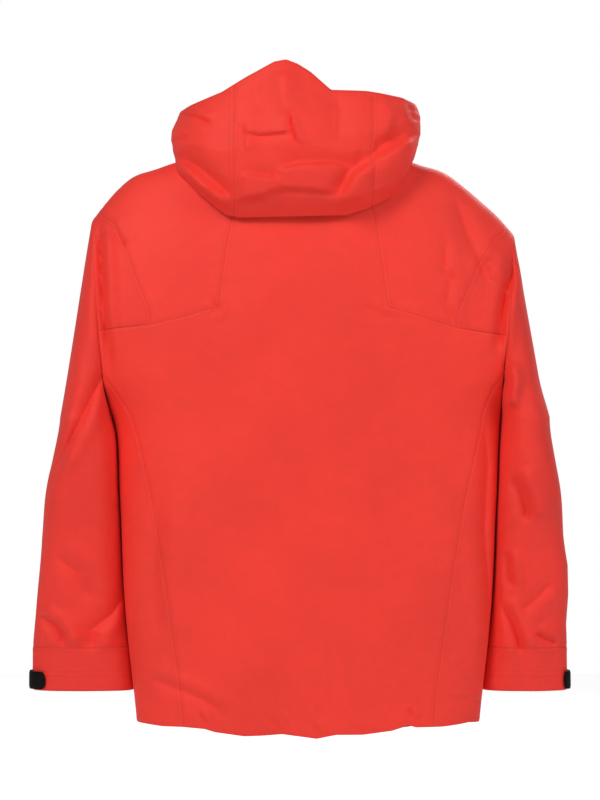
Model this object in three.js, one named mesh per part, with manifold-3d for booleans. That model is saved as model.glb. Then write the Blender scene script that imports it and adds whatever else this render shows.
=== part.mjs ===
// A hooded hardshell jacket, hanging as it is worn, with its zips closed and its hood down.
// Millimetres. +Z is up, the wearer faces -Y and the wearer's left is +X.
// The jacket is drawn about the middle of its body and then moved, so that its origin is the
// hang loop inside the back of the collar.
import * as THREE from 'three';
import Module from 'manifold-3d';
import { mergeVertices } from 'three/addons/utils/BufferGeometryUtils.js';

const wasm = await Module();
wasm.setup();

// ---------------------------------------------------------------- driving dimensions

// Fabric
const SHELL = 2.0; // laminate with its folded seam allowance
const LINING = 1.4;
const SEAM = 0.8; // cut left between two panels
const LAY = 0.4; // gap between one layer and the next
const SQUARENESS = 2.6; // 2 is an ellipse, more is squarer

// Body: rings from the hem to the neck. z is the height at the back,
// frontDrop is how much lower the same ring passes at the centre front.
const HEM = { z: -768, halfWidth: 231, back: 74, frontDrop: 0 };
const HIP = { z: -690, halfWidth: 238, back: 77, frontDrop: 0 };
const WAIST = { z: -580, halfWidth: 248, back: 80, frontDrop: 0 };
const RIBS = { z: -450, halfWidth: 254, back: 84, frontDrop: 0 };
const ARMPIT = { z: -335, halfWidth: 263, back: 88, frontDrop: 0 };
const UNDERARM = { z: -280, halfWidth: 306, back: 90, frontDrop: 0 };
const BLADE = { z: -210, halfWidth: 338, back: 90, frontDrop: 0 };
const UPPER_ARM = { z: -140, halfWidth: 324, back: 86, frontDrop: 0 };
const SHOULDER = { z: -85, halfWidth: 284, back: 80, frontDrop: 0 };
const SHOULDER_TOP = { z: -42, halfWidth: 250, back: 76, frontDrop: 35 };
const SHOULDER_MID = { z: -14, halfWidth: 216, back: 73, frontDrop: 57 };
const NECK_SIDE = { z: 6, halfWidth: 160, back: 71, frontDrop: 73 };
const NECK = { z: 9, halfWidth: 90, back: 70, frontDrop: 72 };
const BODY_RINGS = [
  HEM, HIP, WAIST, RIBS, ARMPIT, UNDERARM, BLADE, UPPER_ARM,
  SHOULDER, SHOULDER_TOP, SHOULDER_MID, NECK_SIDE, NECK,
];
const FRONT_DEPTH = 80; // the centre front is a straight, upright line at this depth
const DROP_POWER = 3.5; // how late, going round to the front, a ring drops

// Seams of the body, as [distance from the middle, height]
const YOKE_CORNER = [112, -193];
const YOKE_SEAM = [YOKE_CORNER, [170, -210], [203, -219]];
const SLEEVE_SEAM = [[203, -219], [201, -203], [215, -173], [233, -128], [254, -88]];
const SLEEVE_SEAM_RIDGE = 266; // distance from the middle where this seam crosses the shoulder
const SLEEVE_SEAM_FOOT = -228; // height where the sleeve head ends at the armhole
const PANEL_SEAM = [YOKE_CORNER, [97, -135], [80, -78], [62, -20], [56, 2]];
const SIDE_SEAM = [[166, -768], [172, -690], [187, -580], [208, -450], [235, -335], [254, -300]];
const SIDE_SEAM_TOP = -284; // height where the side seam reaches the armhole
const PANEL_FOOT = 96; // half width of the middle of the back at the hem

// Collar
const COLLAR_TOP = { z: 58, halfWidth: 82, back: 64, frontDrop: 44 };
const COLLAR_LINING_FRONT = 27; // half width left free for the storm flap

// Sleeves, as rings below the armhole. The inner edge follows the body.
const BODY_GAP = 3.5; // between the sleeve and the body
const BICEP = { z: -341, halfWidth: 31, halfDepth: 78, centre: -2 };
const UPPER_SLEEVE = { z: -392, halfWidth: 37, halfDepth: 72, centre: -3 };
const ELBOW = { z: -450, halfWidth: 43, halfDepth: 64, centre: -4 };
const FOREARM = { z: -520, halfWidth: 47, halfDepth: 54, centre: -8 };
const WRIST = { z: -600, halfWidth: 54, halfDepth: 41, centre: -12 };
const CUFF_TOP = { z: -650, halfWidth: 59, halfDepth: 34, centre: -14 };
const CUFF_END = { z: -709, halfWidth: 63, halfDepth: 29, centre: -15 };
const SLEEVE_SQUARENESS = 2.3;
const CUFF_STAND_OFF = 0.4; // the hemmed cuff is this much fuller than the sleeve

// Cuff tabs
const TAB_WIDTH = 24;
const TAB_THICKNESS = 2.2;
const TAB_RISE = 2; // above the edge of the cuff
const TAB_FROM = -112; // degrees round the cuff, 0 at its outer edge and 90 at the back
const TAB_FOLD = -8; // where the sewn part ends and the free end begins
const TAB_END = { left: 50, right: 32 }; // where each free end is fastened
const TAB_FOLD_GAP = 0.3; // degrees, each side of the fold
const LOOP_PATCH_FROM = -116;
const LOOP_PATCH_TO = 26;
const LOOP_PATCH_MARGIN = 2; // it is this much narrower than the tab, on each side
const LOOP_PATCH_THICKNESS = 0.8;

// Hood, folded back behind the collar
const HOOD_MIDDLE = 15; // y about which its plan is drawn
const HOOD_SQUARENESS = 3;
const HOOD_FOOT = { halfWidth: 152, depth: 92, z: -67, sideRise: 74 };
const HOOD_BELLY = { halfWidth: 168, depth: 118 };
const HOOD_TOP = { halfWidth: 158, depth: 99, z: 141, sideDrop: 59 };
const HOOD_SWELL = { from: 0.05, rate: 0.85 }; // how the belly starts at the foot and goes up
const HOOD_RISE = { from: 0.45, to: 1.05 }; // shares of the width where the foot climbs
const HOOD_SEAT = 0.05; // share of the height where the neck panel meets the hood
const HOOD_SEAM = 92; // half width of the crown panel
const BRIM = 0.87; // share of the height where the brim begins
const BRIM_SEAM = 0.004; // the same share, for the cut below the brim
const HOOD_SIDE_ANGLE = 88; // degrees from the centre back to the front end of the hood
const NECK_PANEL_RISE = 0.16; // share of the collar's height where the hood is sewn on
const NECK_PANEL_BOW = 14; // how far the panel arches over the shoulder seam
const NECK_PANEL_MARGIN = 6; // degrees that it stops short of the ends of the hood

// Zips
const ZIP_HALF_WIDTH = 14.5;
const TEETH_HALF_WIDTH = 2.2;
const TEETH_DEPTH = 3;
const TAPE = 1.0;
const SLIDER = { width: 9.5, length: 13, plate: 2.2 };
const LUG = { width: 1.5, length: 4.2, height: 3.6 };
const PULLER = {
  width: 7, length: 34, thickness: 1.7, barrel: 1.3, barrelLength: 5.04,
  neck: 3.5, neckTop: -0.5, neckEnd: -6.5, shoulderTop: -5, shoulderEnd: -9, shoulder: 0.7,
};
const ZIP_BOX = { width: 4.6, length: 11, depth: 4, gap: 0.5 };
const STORM_FLAP_HALF_WIDTH = 22;
const CHIN_GUARD = { width: 34, height: 26, thickness: 1.4, drop: 1 };
const MAIN_ZIP_TOP_STOP = 3; // teeth end this far below the edge of the collar
const MAIN_SLIDER_DROP = 1; // from the end of the teeth to the closed slider

// Hand pockets
const POCKET_ZIP = { x: 150, top: -372, length: 160, halfWidth: 7, teethDepth: 1.6 };
const POCKET_ZIP_STAND_OFF = 0.7; // the front bulges under the flat zip
const POCKET_TEETH_STOP = 2; // teeth end this far inside the tapes
const POCKET_BAG = { inner: 50, outer: 172, top: -345, bottom: -580, gap: 0.6 };
const POCKET_SLIDER_DROP = 9; // centre of the closed slider below the top of its zip

// Hem
const HEM_FACING_HEIGHT = 32;
const HEM_TUNNEL = 5; // room for the cord behind the shell
const HEM_CORD = 3;
const HEM_CORD_RISE = 9; // above the edge of the hem
const HEM_FACING_END = 92; // distance from the middle at the front where the facing ends
const CORD_LOCK = { length: 15, height: 13, depth: 9, bore: 8, end: 3 };
const PLUNGER = { length: 10, reach: 4.5 }; // it slides in the bore of the lock
const ROUND_SIDES = 14;

// Hang loop
const LOOP = { span: 56, reach: 6.2, height: 7, thickness: 1.2, z: 14 };
const LOOP_GAP = 3.4; // what the neck curves away from a flat plane at the ends of the loop
const LOOP_SEAT = NECK.back - SHELL - LINING - LOOP_GAP;

// ---------------------------------------------------------------- materials

const paint = (color, roughness, metalness = 0) =>
  new THREE.MeshStandardMaterial({ color, roughness, metalness });
const RED = paint(0xe6483c, 0.6);
const RED_SLEEVE = paint(0xdd4539, 0.6);
const RED_TRIM = paint(0xcc3b32, 0.65);
const RED_INSIDE = paint(0x9c2f29, 0.8);
const BLACK_TAB = paint(0x131111, 0.5);
const BLACK_ZIP = paint(0x1d1b1b, 0.45);
const BLACK_TAPE = paint(0x242020, 0.8);
const GREY_LINING = paint(0x3a3536, 0.85);

// ---------------------------------------------------------------- curves

const { lerp, clamp, degToRad } = THREE.MathUtils;

function catmull(a, b, c, d, t) {
  const square = t * t;
  const cube = square * t;
  return 0.5 * (2 * b + (c - a) * t + (2 * a - 5 * b + 4 * c - d) * square
    + (3 * b - a - 3 * c + d) * cube);
}

// A ring between two of a list, all of its sizes blended smoothly.
function ringBetween(rings, position) {
  const last = rings.length - 1;
  const index = clamp(Math.floor(position), 0, last - 1);
  const at = (step) => rings[clamp(index + step, 0, last)];
  const ring = {};
  for (const key of Object.keys(rings[0])) {
    ring[key] = catmull(at(-1)[key], at(0)[key], at(1)[key], at(2)[key], position - index);
  }
  return ring;
}

// The place of a height in a list of rings whose heights run one way.
function positionOfHeight(rings, z) {
  let low = 0;
  let high = rings.length - 1;
  const rising = rings[high].z > rings[0].z;
  for (let step = 0; step < 40; step += 1) {
    const middle = (low + high) / 2;
    if ((ringBetween(rings, middle).z < z) === rising) low = middle;
    else high = middle;
  }
  return (low + high) / 2;
}

// A point on a polyline of [x, z] pairs, by share of its length.
function alongPath(points, share) {
  const path = new THREE.CurvePath();
  for (let i = 1; i < points.length; i += 1) {
    path.add(new THREE.LineCurve(
      new THREE.Vector2(...points[i - 1]),
      new THREE.Vector2(...points[i]),
    ));
  }
  return path.getPointAt(clamp(share, 0, 1));
}

// ---------------------------------------------------------------- the body's surface

const NECK_POSITION = BODY_RINGS.length - 1;

function roundShare(angle, squareness) {
  const side = Math.abs(Math.sin(angle)) ** squareness;
  const depth = Math.abs(Math.cos(angle)) ** squareness;
  return (side + depth) ** (-1 / squareness);
}

// angle: 0 is the centre back, 90 degrees the wearer's left, 180 the centre front.
function ringPoint(ring, angle) {
  const share = roundShare(angle, SQUARENESS);
  const depth = Math.cos(angle) >= 0 ? ring.back : FRONT_DEPTH;
  const towardsFront = (1 - Math.cos(angle)) / 2;
  return new THREE.Vector3(
    ring.halfWidth * share * Math.sin(angle),
    depth * share * Math.cos(angle),
    ring.z - ring.frontDrop * towardsFront ** DROP_POWER,
  );
}

function bodyPoint(place) {
  return ringPoint(ringBetween(BODY_RINGS, place.y), place.x);
}

// The outward direction of the body's surface at a place.
function bodyNormal(place) {
  const step = 0.004;
  const low = Math.max(place.y - step, 0);
  const high = Math.min(place.y + step, NECK_POSITION);
  const around = bodyPoint(new THREE.Vector2(place.x + step, place.y))
    .sub(bodyPoint(new THREE.Vector2(place.x - step, place.y)));
  const along = bodyPoint(new THREE.Vector2(place.x, high))
    .sub(bodyPoint(new THREE.Vector2(place.x, low)));
  return along.cross(around).normalize();
}

// The place, as (angle, ring position), that lies x from the middle at a height.
function placeAt(x, z, front = false) {
  return placeOnRing(x, positionOfHeight(BODY_RINGS, z), front);
}

function placeOnRing(x, position, front = false) {
  const share = Math.min(Math.abs(x) / ringBetween(BODY_RINGS, position).halfWidth, 1);
  const rest = (1 - share ** SQUARENESS) ** (1 / SQUARENESS);
  const angle = Math.atan2(share, rest);
  const turned = front ? Math.PI - angle : angle;
  return new THREE.Vector2(x < 0 ? -turned : turned, position);
}

// The armhole is a flat cut between the shoulder point and the armpit.
function armholeX(z) {
  return lerp(ARMPIT.halfWidth, SHOULDER.halfWidth, (z - ARMPIT.z) / (SHOULDER.z - ARMPIT.z));
}

function armholePlace(z, front) {
  return placeAt(armholeX(z) - LAY, z, front);
}

// ---------------------------------------------------------------- solids from surfaces

// A four-sided patch of places between four edges, each a function of 0 to 1.
function patch(bottom, top, left, right, columns, rows) {
  const corner = [bottom(0), bottom(1), top(0), top(1)];
  const places = [];
  for (let row = 0; row <= rows; row += 1) {
    const v = row / rows;
    const line = [];
    for (let column = 0; column <= columns; column += 1) {
      const u = column / columns;
      const place = bottom(u).clone().multiplyScalar(1 - v)
        .addScaledVector(top(u), v)
        .addScaledVector(left(v), 1 - u)
        .addScaledVector(right(v), u)
        .addScaledVector(corner[0], -(1 - u) * (1 - v))
        .addScaledVector(corner[1], -u * (1 - v))
        .addScaledVector(corner[2], -(1 - u) * v)
        .addScaledVector(corner[3], -u * v);
      line.push(place);
    }
    places.push(line);
  }
  return places;
}

function signedVolume(positions, index) {
  const a = new THREE.Vector3();
  const b = new THREE.Vector3();
  const c = new THREE.Vector3();
  let volume = 0;
  for (let i = 0; i < index.length; i += 3) {
    a.fromArray(positions, index[i] * 3);
    b.fromArray(positions, index[i + 1] * 3);
    c.fromArray(positions, index[i + 2] * 3);
    volume += a.dot(b.cross(c)) / 6;
  }
  return volume;
}

// A closed solid between two skins. The skins are grids of points, welded where they meet,
// and every open edge gets a wall.
function solidBetween(grids) {
  const keys = new Map();
  const outer = [];
  const inner = [];
  const weld = (pair) => {
    const key = pair[0].toArray().map((value) => value.toFixed(3)).join();
    if (!keys.has(key)) {
      keys.set(key, outer.length);
      outer.push(pair[0]);
      inner.push(pair[1]);
    }
    return keys.get(key);
  };
  const skin = [];
  for (const grid of grids) {
    for (let row = 1; row < grid.length; row += 1) {
      for (let column = 1; column < grid[row].length; column += 1) {
        const a = weld(grid[row - 1][column - 1]);
        const b = weld(grid[row - 1][column]);
        const c = weld(grid[row][column]);
        const d = weld(grid[row][column - 1]);
        for (const face of [[a, b, c], [a, c, d]]) {
          if (new Set(face).size === 3) skin.push(face);
        }
      }
    }
  }
  const edges = new Map();
  for (const [a, b, c] of skin) {
    for (const [from, to] of [[a, b], [b, c], [c, a]]) edges.set(`${from},${to}`, [from, to]);
  }
  const count = outer.length;
  const index = [];
  for (const [a, b, c] of skin) {
    index.push(a, b, c);
    index.push(count + a, count + c, count + b);
  }
  for (const [from, to] of edges.values()) {
    if (!edges.has(`${to},${from}`)) {
      index.push(from, count + from, to);
      index.push(to, count + from, count + to);
    }
  }
  const positions = [...outer, ...inner].flatMap((point) => point.toArray());
  if (signedVolume(positions, index) < 0) {
    for (let i = 0; i < index.length; i += 3) {
      [index[i], index[i + 1]] = [index[i + 1], index[i]];
    }
  }
  const geometry = new THREE.BufferGeometry();
  geometry.setAttribute('position', new THREE.Float32BufferAttribute(positions, 3));
  geometry.setIndex(index);
  return geometry;
}

// A panel of the body: patches of places, given a thickness under the body's surface.
function bodyPanel(patches, depth = 0, thickness = SHELL) {
  return solidBetween(patches.map((places) => places.map((line) => line.map((place) => {
    const point = bodyPoint(place);
    const normal = bodyNormal(place);
    return [
      point.clone().addScaledVector(normal, -depth),
      point.clone().addScaledVector(normal, -depth - thickness),
    ];
  }))));
}

// A band between two functions of (u, v), for the outer and the inner skin.
function band(outerAt, innerAt, columns, rows) {
  const grid = [];
  for (let row = 0; row <= rows; row += 1) {
    const line = [];
    for (let column = 0; column <= columns; column += 1) {
      const u = column / columns;
      const v = row / rows;
      line.push([outerAt(u, v), innerAt(u, v)]);
    }
    grid.push(line);
  }
  return solidBetween([grid]);
}

function mirrored(geometry) {
  const copy = geometry.clone();
  copy.applyMatrix4(new THREE.Matrix4().makeScale(-1, 1, 1));
  const index = copy.getIndex().array;
  for (let i = 0; i < index.length; i += 3) {
    [index[i], index[i + 1]] = [index[i + 1], index[i]];
  }
  return copy;
}

function toManifold(geometry) {
  const bare = geometry.clone();
  bare.deleteAttribute('normal');
  bare.deleteAttribute('uv');
  const merged = mergeVertices(bare, 1e-4);
  return new wasm.Manifold(new wasm.Mesh({
    numProp: 3,
    vertProperties: new Float32Array(merged.getAttribute('position').array),
    triVerts: new Uint32Array(merged.getIndex().array),
  }));
}

function fromManifold(solid) {
  const mesh = solid.getMesh();
  const geometry = new THREE.BufferGeometry();
  geometry.setAttribute('position', new THREE.BufferAttribute(mesh.vertProperties, 3));
  geometry.setIndex(new THREE.BufferAttribute(mesh.triVerts, 1));
  return geometry;
}

function toIndexed(geometry) {
  return fromManifold(toManifold(geometry));
}

function box(width, depth, height, x, y, z) {
  return new THREE.BoxGeometry(width, depth, height).translate(x, y, z);
}

// ---------------------------------------------------------------- scene

const jacket = new THREE.Group();
jacket.position.set(0, LOOP.reach - LOOP_SEAT, -LOOP.z);

function add(name, geometry, material, parent = jacket) {
  const mesh = new THREE.Mesh(geometry, material);
  mesh.name = name;
  parent.add(mesh);
}

function addPair(name, geometry, material) {
  add(`${name}_left`, geometry, material);
  add(`${name}_right`, mirrored(geometry), material);
}

// ---------------------------------------------------------------- body panels

const LOWER_ROWS = 9;
const UPPER_ROWS = 8;
const EDGE_COLUMNS = 3;
const SIDE_COLUMNS = 8;
const SHOULDER_COLUMNS = 20;
const SHOULDER_ROWS = 3;

// The middle line of a half panel that carries the panel seam down to the hem.
function panelLine(share, front) {
  const height = lerp(HEM.z, YOKE_CORNER[1] - SEAM / 2, share);
  return placeAt(lerp(PANEL_FOOT, YOKE_CORNER[0] - SEAM / 2, share), height, front);
}

// The outer edge of a half panel: the side seam, then the armhole up to the sleeve head.
function panelOuterEdge(share, front) {
  const armholeShare = 0.8;
  if (share <= armholeShare) {
    const point = alongPath(
      [...SIDE_SEAM, [armholeX(SIDE_SEAM_TOP), SIDE_SEAM_TOP]],
      share / armholeShare,
    );
    return placeAt(Math.min(point.x - SEAM / 2, armholeX(point.y) - LAY), point.y, front);
  }
  const rest = (share - armholeShare) / (1 - armholeShare);
  return armholePlace(lerp(SIDE_SEAM_TOP, SLEEVE_SEAM_FOOT - SEAM / 2, rest), front);
}

// The yoke seam and the foot of the sleeve head, from the panel seam out to the armhole.
function yokeLine(share, front, shift) {
  const foot = [armholeX(SLEEVE_SEAM_FOOT) - LAY, SLEEVE_SEAM_FOOT];
  const point = alongPath([...YOKE_SEAM, foot], share);
  return placeAt(point.x, point.y + shift, front);
}

// One half of the back or the front below and beside the yoke, from the line x = inner.
function halfPanel(inner, front) {
  const innerEdge = (share, from, to) => placeOnRing(
    inner,
    lerp(from, to, share),
    front,
  );
  const hem = positionOfHeight(BODY_RINGS, HEM.z);
  const yoke = positionOfHeight(BODY_RINGS, YOKE_CORNER[1] - SEAM / 2);
  const between = (from, to) => (u) => from.clone().lerp(to, u);
  const seamEdge = (share) => placeOnRing(
    alongPath(PANEL_SEAM, share).x - SEAM / 2,
    lerp(yoke, NECK_POSITION, share),
    front,
  );
  const middleLower = patch(
    between(innerEdge(0, hem, yoke), panelLine(0, front)),
    between(innerEdge(1, hem, yoke), panelLine(1, front)),
    (v) => innerEdge(v, hem, yoke),
    (v) => panelLine(v, front),
    EDGE_COLUMNS,
    LOWER_ROWS,
  );
  const outerLower = patch(
    between(panelLine(0, front), panelOuterEdge(0, front)),
    (u) => (u === 0 ? panelLine(1, front) : yokeLine(u, front, -SEAM / 2)),
    (v) => panelLine(v, front),
    (v) => (v === 1 ? yokeLine(1, front, -SEAM / 2) : panelOuterEdge(v, front)),
    EDGE_COLUMNS + 2,
    LOWER_ROWS,
  );
  const middleUpper = patch(
    between(innerEdge(0, yoke, NECK_POSITION), panelLine(1, front)),
    between(innerEdge(1, yoke, NECK_POSITION), seamEdge(1)),
    (v) => innerEdge(v, yoke, NECK_POSITION),
    (v) => (v === 0 ? panelLine(1, front) : seamEdge(v)),
    EDGE_COLUMNS,
    UPPER_ROWS,
  );
  return [middleLower, outerLower, middleUpper];
}

function flipped(patches) {
  return patches.map((places) => places.map((line) => line
    .map((place) => new THREE.Vector2(-place.x, place.y)).reverse()));
}

function addBackPanel() {
  const left = halfPanel(0, false);
  add('back_panel', bodyPanel([...left, ...flipped(left)]), RED);
}

function addFrontPanels() {
  addPair('front_panel', bodyPanel(halfPanel(ZIP_HALF_WIDTH, true)), RED);
}

// The seam round the sleeve head: up the back, over the shoulder and down the front.
function sleeveSeam(share, shift) {
  const front = share > 0.5;
  const climb = front ? 2 - 2 * share : 2 * share;
  const ridgeShare = 0.78;
  const foot = alongPath(SLEEVE_SEAM, Math.min(climb / ridgeShare, 1));
  const place = placeAt(foot.x + shift, foot.y, front);
  if (climb <= ridgeShare) return place;
  const ridge = ridgePosition(SLEEVE_SEAM_RIDGE + shift);
  const rest = (climb - ridgeShare) / (1 - ridgeShare);
  return place.lerp(new THREE.Vector2(Math.PI / 2, ridge), rest);
}

// The ring above the shoulder point that has a given half width.
function ridgePosition(halfWidth) {
  let low = BODY_RINGS.indexOf(SHOULDER);
  let high = NECK_POSITION;
  for (let step = 0; step < 40; step += 1) {
    const middle = (low + high) / 2;
    if (ringBetween(BODY_RINGS, middle).halfWidth > halfWidth) low = middle;
    else high = middle;
  }
  return (low + high) / 2;
}

// Up the panel seam at the back, round the neck and down the panel seam at the front.
function yokeInnerEdge(share) {
  const neckShare = 0.4;
  const front = share > 0.5;
  const climb = Math.min(front ? 1 - share : share, neckShare) / neckShare;
  const yoke = positionOfHeight(BODY_RINGS, YOKE_CORNER[1] + SEAM / 2);
  const position = lerp(yoke, NECK_POSITION, climb);
  const place = placeOnRing(alongPath(PANEL_SEAM, climb).x + SEAM / 2, position, front);
  const onNeck = share > neckShare && share < 1 - neckShare;
  if (!onNeck) return place;
  const start = placeOnRing(alongPath(PANEL_SEAM, 1).x + SEAM / 2, NECK_POSITION, false);
  const round = (share - neckShare) / (1 - 2 * neckShare);
  return new THREE.Vector2(lerp(start.x, Math.PI - start.x, round), NECK_POSITION);
}

function addShoulderYokes() {
  const across = (front) => (v) => {
    const point = alongPath(YOKE_SEAM, v);
    return placeAt(point.x + (v === 0 ? SEAM / 2 : 0), point.y + SEAM / 2, front);
  };
  const edge = (share) => {
    if (share === 0) return across(false)(1);
    if (share === 1) return across(true)(1);
    return sleeveSeam(share, -SEAM / 2);
  };
  const start = (share) => {
    if (share === 0) return across(false)(0);
    if (share === 1) return across(true)(0);
    return yokeInnerEdge(share);
  };
  const places = patch(start, edge, across(false), across(true), SHOULDER_COLUMNS, SHOULDER_ROWS);
  addPair('shoulder_yoke', bodyPanel([places]), RED);
}

// The armhole edge above a height: up the back, over the shoulder point, down the front.
function armholeUpperEdge(share) {
  const front = share > 0.5;
  const climb = front ? 2 - 2 * share : 2 * share;
  const eased = Math.sin(climb * Math.PI / 2);
  const height = lerp(SLEEVE_SEAM_FOOT + SEAM / 2, SHOULDER.z, eased);
  if (climb > 0.999) return new THREE.Vector2(Math.PI / 2, BODY_RINGS.indexOf(SHOULDER) + 0.01);
  return armholePlace(height, front);
}

function addSleeveHeads() {
  const seamWidth = new THREE.Vector2(0, 0.006); // in ring positions, above the panel below
  const footLine = (front) => (v) => {
    const from = sleeveSeam(front ? 1 : 0, SEAM / 2);
    const to = armholeUpperEdge(front ? 1 : 0);
    return from.add(seamWidth).lerp(to, v);
  };
  const edge = (share) => {
    if (share === 0) return footLine(false)(0);
    if (share === 1) return footLine(true)(0);
    return sleeveSeam(share, SEAM / 2);
  };
  const places = patch(
    edge, armholeUpperEdge, footLine(false), footLine(true),
    SHOULDER_COLUMNS, SHOULDER_ROWS,
  );
  addPair('sleeve_head', bodyPanel([places]), RED_SLEEVE);
}

function addSidePanels() {
  const seam = (front) => (share) => {
    const point = alongPath([...SIDE_SEAM, [armholeX(SIDE_SEAM_TOP), SIDE_SEAM_TOP]], share);
    return placeAt(Math.min(point.x + SEAM, armholeX(point.y) - LAY), point.y - SEAM, front);
  };
  const round = (share) => {
    const start = Math.acos((SIDE_SEAM_TOP - SEAM - armholeMiddle) / armholeRadius);
    const turn = lerp(start, 2 * Math.PI - start, share);
    const height = armholeMiddle + armholeRadius * Math.cos(turn);
    if (Math.abs(turn - Math.PI) < 1e-6) {
      return new THREE.Vector2(Math.PI / 2, BODY_RINGS.indexOf(ARMPIT) - 0.01);
    }
    return armholePlace(height, turn > Math.PI);
  };
  const hemEdge = (share) => {
    const from = seam(false)(0);
    const to = seam(true)(0);
    return new THREE.Vector2(lerp(from.x, to.x, share), 0);
  };
  const edge = (front) => (v) => {
    const end = front ? 1 : 0;
    if (v === 0) return hemEdge(end);
    if (v === 1) return round(end);
    return seam(front)(v);
  };
  const places = patch(hemEdge, round, edge(false), edge(true), SIDE_COLUMNS, LOWER_ROWS);
  addPair('side_panel', bodyPanel([places]), RED);
}

// ---------------------------------------------------------------- sleeves

const armholeMiddle = (ARMPIT.z + SHOULDER.z) / 2;
const armholeRadius = (SHOULDER.z - ARMPIT.z) / 2;
const SLEEVE_RINGS = [BICEP, UPPER_SLEEVE, ELBOW, FOREARM, WRIST, CUFF_TOP, CUFF_END];

// turn: 0 is the top or outer edge of the sleeve, 90 degrees is its back.
function armholeRingPoint(turn) {
  const z = armholeMiddle + armholeRadius * Math.cos(turn);
  const x = armholeX(z);
  const ring = ringBetween(BODY_RINGS, positionOfHeight(BODY_RINGS, z));
  const share = Math.min(x / ring.halfWidth, 1);
  const depth = Math.sin(turn) >= 0 ? ring.back : -FRONT_DEPTH;
  const y = Math.abs(Math.sin(turn)) < 1e-6 ? 0 : depth * (1 - share ** SQUARENESS) ** (1 / SQUARENESS);
  return new THREE.Vector3(x + LAY / 2, y, z);
}

function bodyHalfWidth(z) {
  return ringBetween(BODY_RINGS, positionOfHeight(BODY_RINGS, z)).halfWidth;
}

function sleeveRing(z) {
  const ring = ringBetween(SLEEVE_RINGS, positionOfHeight(SLEEVE_RINGS, z));
  return { ...ring, x: bodyHalfWidth(z) + BODY_GAP + ring.halfWidth };
}

function sleeveRingPoint(turn, z, grow = 0) {
  const ring = sleeveRing(z);
  const share = roundShare(turn, SLEEVE_SQUARENESS);
  return new THREE.Vector3(
    ring.x + (ring.halfWidth + grow) * share * Math.cos(turn),
    ring.centre + (ring.halfDepth + grow) * share * Math.sin(turn),
    z,
  );
}

// The inner skin keeps to the plane of its ring.
function wallInside(pointAt, centreAt, thickness) {
  return (u, v) => {
    const point = pointAt(u, v);
    const inward = centreAt(v).sub(point).normalize();
    return point.addScaledVector(inward, thickness);
  };
}

const SLEEVE_COLUMNS = 24;
const CUFF_COLUMNS = 36;
const TAB_COLUMNS = 24;

function sleeveTube(fromZ, toZ, columns, rows, grow = 0, thickness = SHELL) {
  const outer = (u, v) => sleeveRingPoint(2 * Math.PI * u, lerp(fromZ, toZ, v), grow);
  const centre = (v) => {
    const z = lerp(fromZ, toZ, v);
    const ring = sleeveRing(z);
    return new THREE.Vector3(ring.x, ring.centre, z);
  };
  return band(outer, wallInside(outer, centre, thickness), columns, rows);
}

function addUpperSleeves() {
  const capRows = 5;
  const straightRows = 4;
  const capShare = capRows / (capRows + straightRows);
  const end = ELBOW.z + LAY / 2;
  const outer = (u, v) => {
    const turn = 2 * Math.PI * u;
    if (v >= capShare) {
      return sleeveRingPoint(turn, lerp(BICEP.z, end, (v - capShare) / (1 - capShare)));
    }
    return armholeRingPoint(turn).lerp(sleeveRingPoint(turn, BICEP.z), v / capShare);
  };
  const centre = (v) => {
    const sum = new THREE.Vector3();
    for (let i = 0; i < SLEEVE_COLUMNS; i += 1) sum.add(outer(i / SLEEVE_COLUMNS, v));
    return sum.divideScalar(SLEEVE_COLUMNS);
  };
  addPair(
    'upper_sleeve',
    band(outer, wallInside(outer, centre, SHELL), SLEEVE_COLUMNS, capRows + straightRows),
    RED_SLEEVE,
  );
}

function addLowerSleeves() {
  const elbow = ELBOW.z - LAY / 2;
  const seam = CUFF_TOP.z + SEAM / 2;
  addPair('lower_sleeve', sleeveTube(elbow, seam, SLEEVE_COLUMNS, 5), RED_SLEEVE);
  const cuff = sleeveTube(
    CUFF_TOP.z - SEAM / 2, CUFF_END.z, CUFF_COLUMNS, 2, CUFF_STAND_OFF, SHELL + CUFF_STAND_OFF,
  );
  addPair('cuff', cuff, RED_TRIM);
}

// A strip round the outside of the cuff, between two turns, standing off it.
function cuffStrip(fromDegrees, toDegrees, bottom, top, standOff, thickness) {
  const turnAt = (u) => degToRad(lerp(fromDegrees, toDegrees, u));
  const at = (grow) => (u, v) => sleeveRingPoint(turnAt(u), lerp(bottom, top, v), grow);
  return band(at(standOff + thickness), at(standOff), TAB_COLUMNS, 1);
}

function addCuffTabs() {
  const bottom = CUFF_END.z + TAB_RISE;
  const top = bottom + TAB_WIDTH;
  const surface = CUFF_STAND_OFF + LAY;
  const patchBottom = bottom + LOOP_PATCH_MARGIN;
  const patchTop = top - LOOP_PATCH_MARGIN;
  addPair(
    'cuff_loop_patch',
    cuffStrip(LOOP_PATCH_FROM, LOOP_PATCH_TO, patchBottom, patchTop, surface, LOOP_PATCH_THICKNESS),
    BLACK_TAPE,
  );
  const seat = surface + LOOP_PATCH_THICKNESS + 2 * LAY;
  const tab = (from, to) => cuffStrip(from, to, bottom, top, seat, TAB_THICKNESS);
  addPair('cuff_tab_base', tab(TAB_FROM, TAB_FOLD - TAB_FOLD_GAP), BLACK_TAB);
  add('cuff_tab_left', tab(TAB_FOLD + TAB_FOLD_GAP, TAB_END.left), BLACK_TAB);
  add('cuff_tab_right', mirrored(tab(TAB_FOLD + TAB_FOLD_GAP, TAB_END.right)), BLACK_TAB);
}

// ---------------------------------------------------------------- collar

function collarPoint(angle, height, inward = 0) {
  const point = ringPoint(NECK, angle).lerp(ringPoint(COLLAR_TOP, angle), height);
  const direction = new THREE.Vector3(Math.sin(angle), Math.cos(angle), 0);
  return point.addScaledVector(direction, -inward);
}

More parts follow.
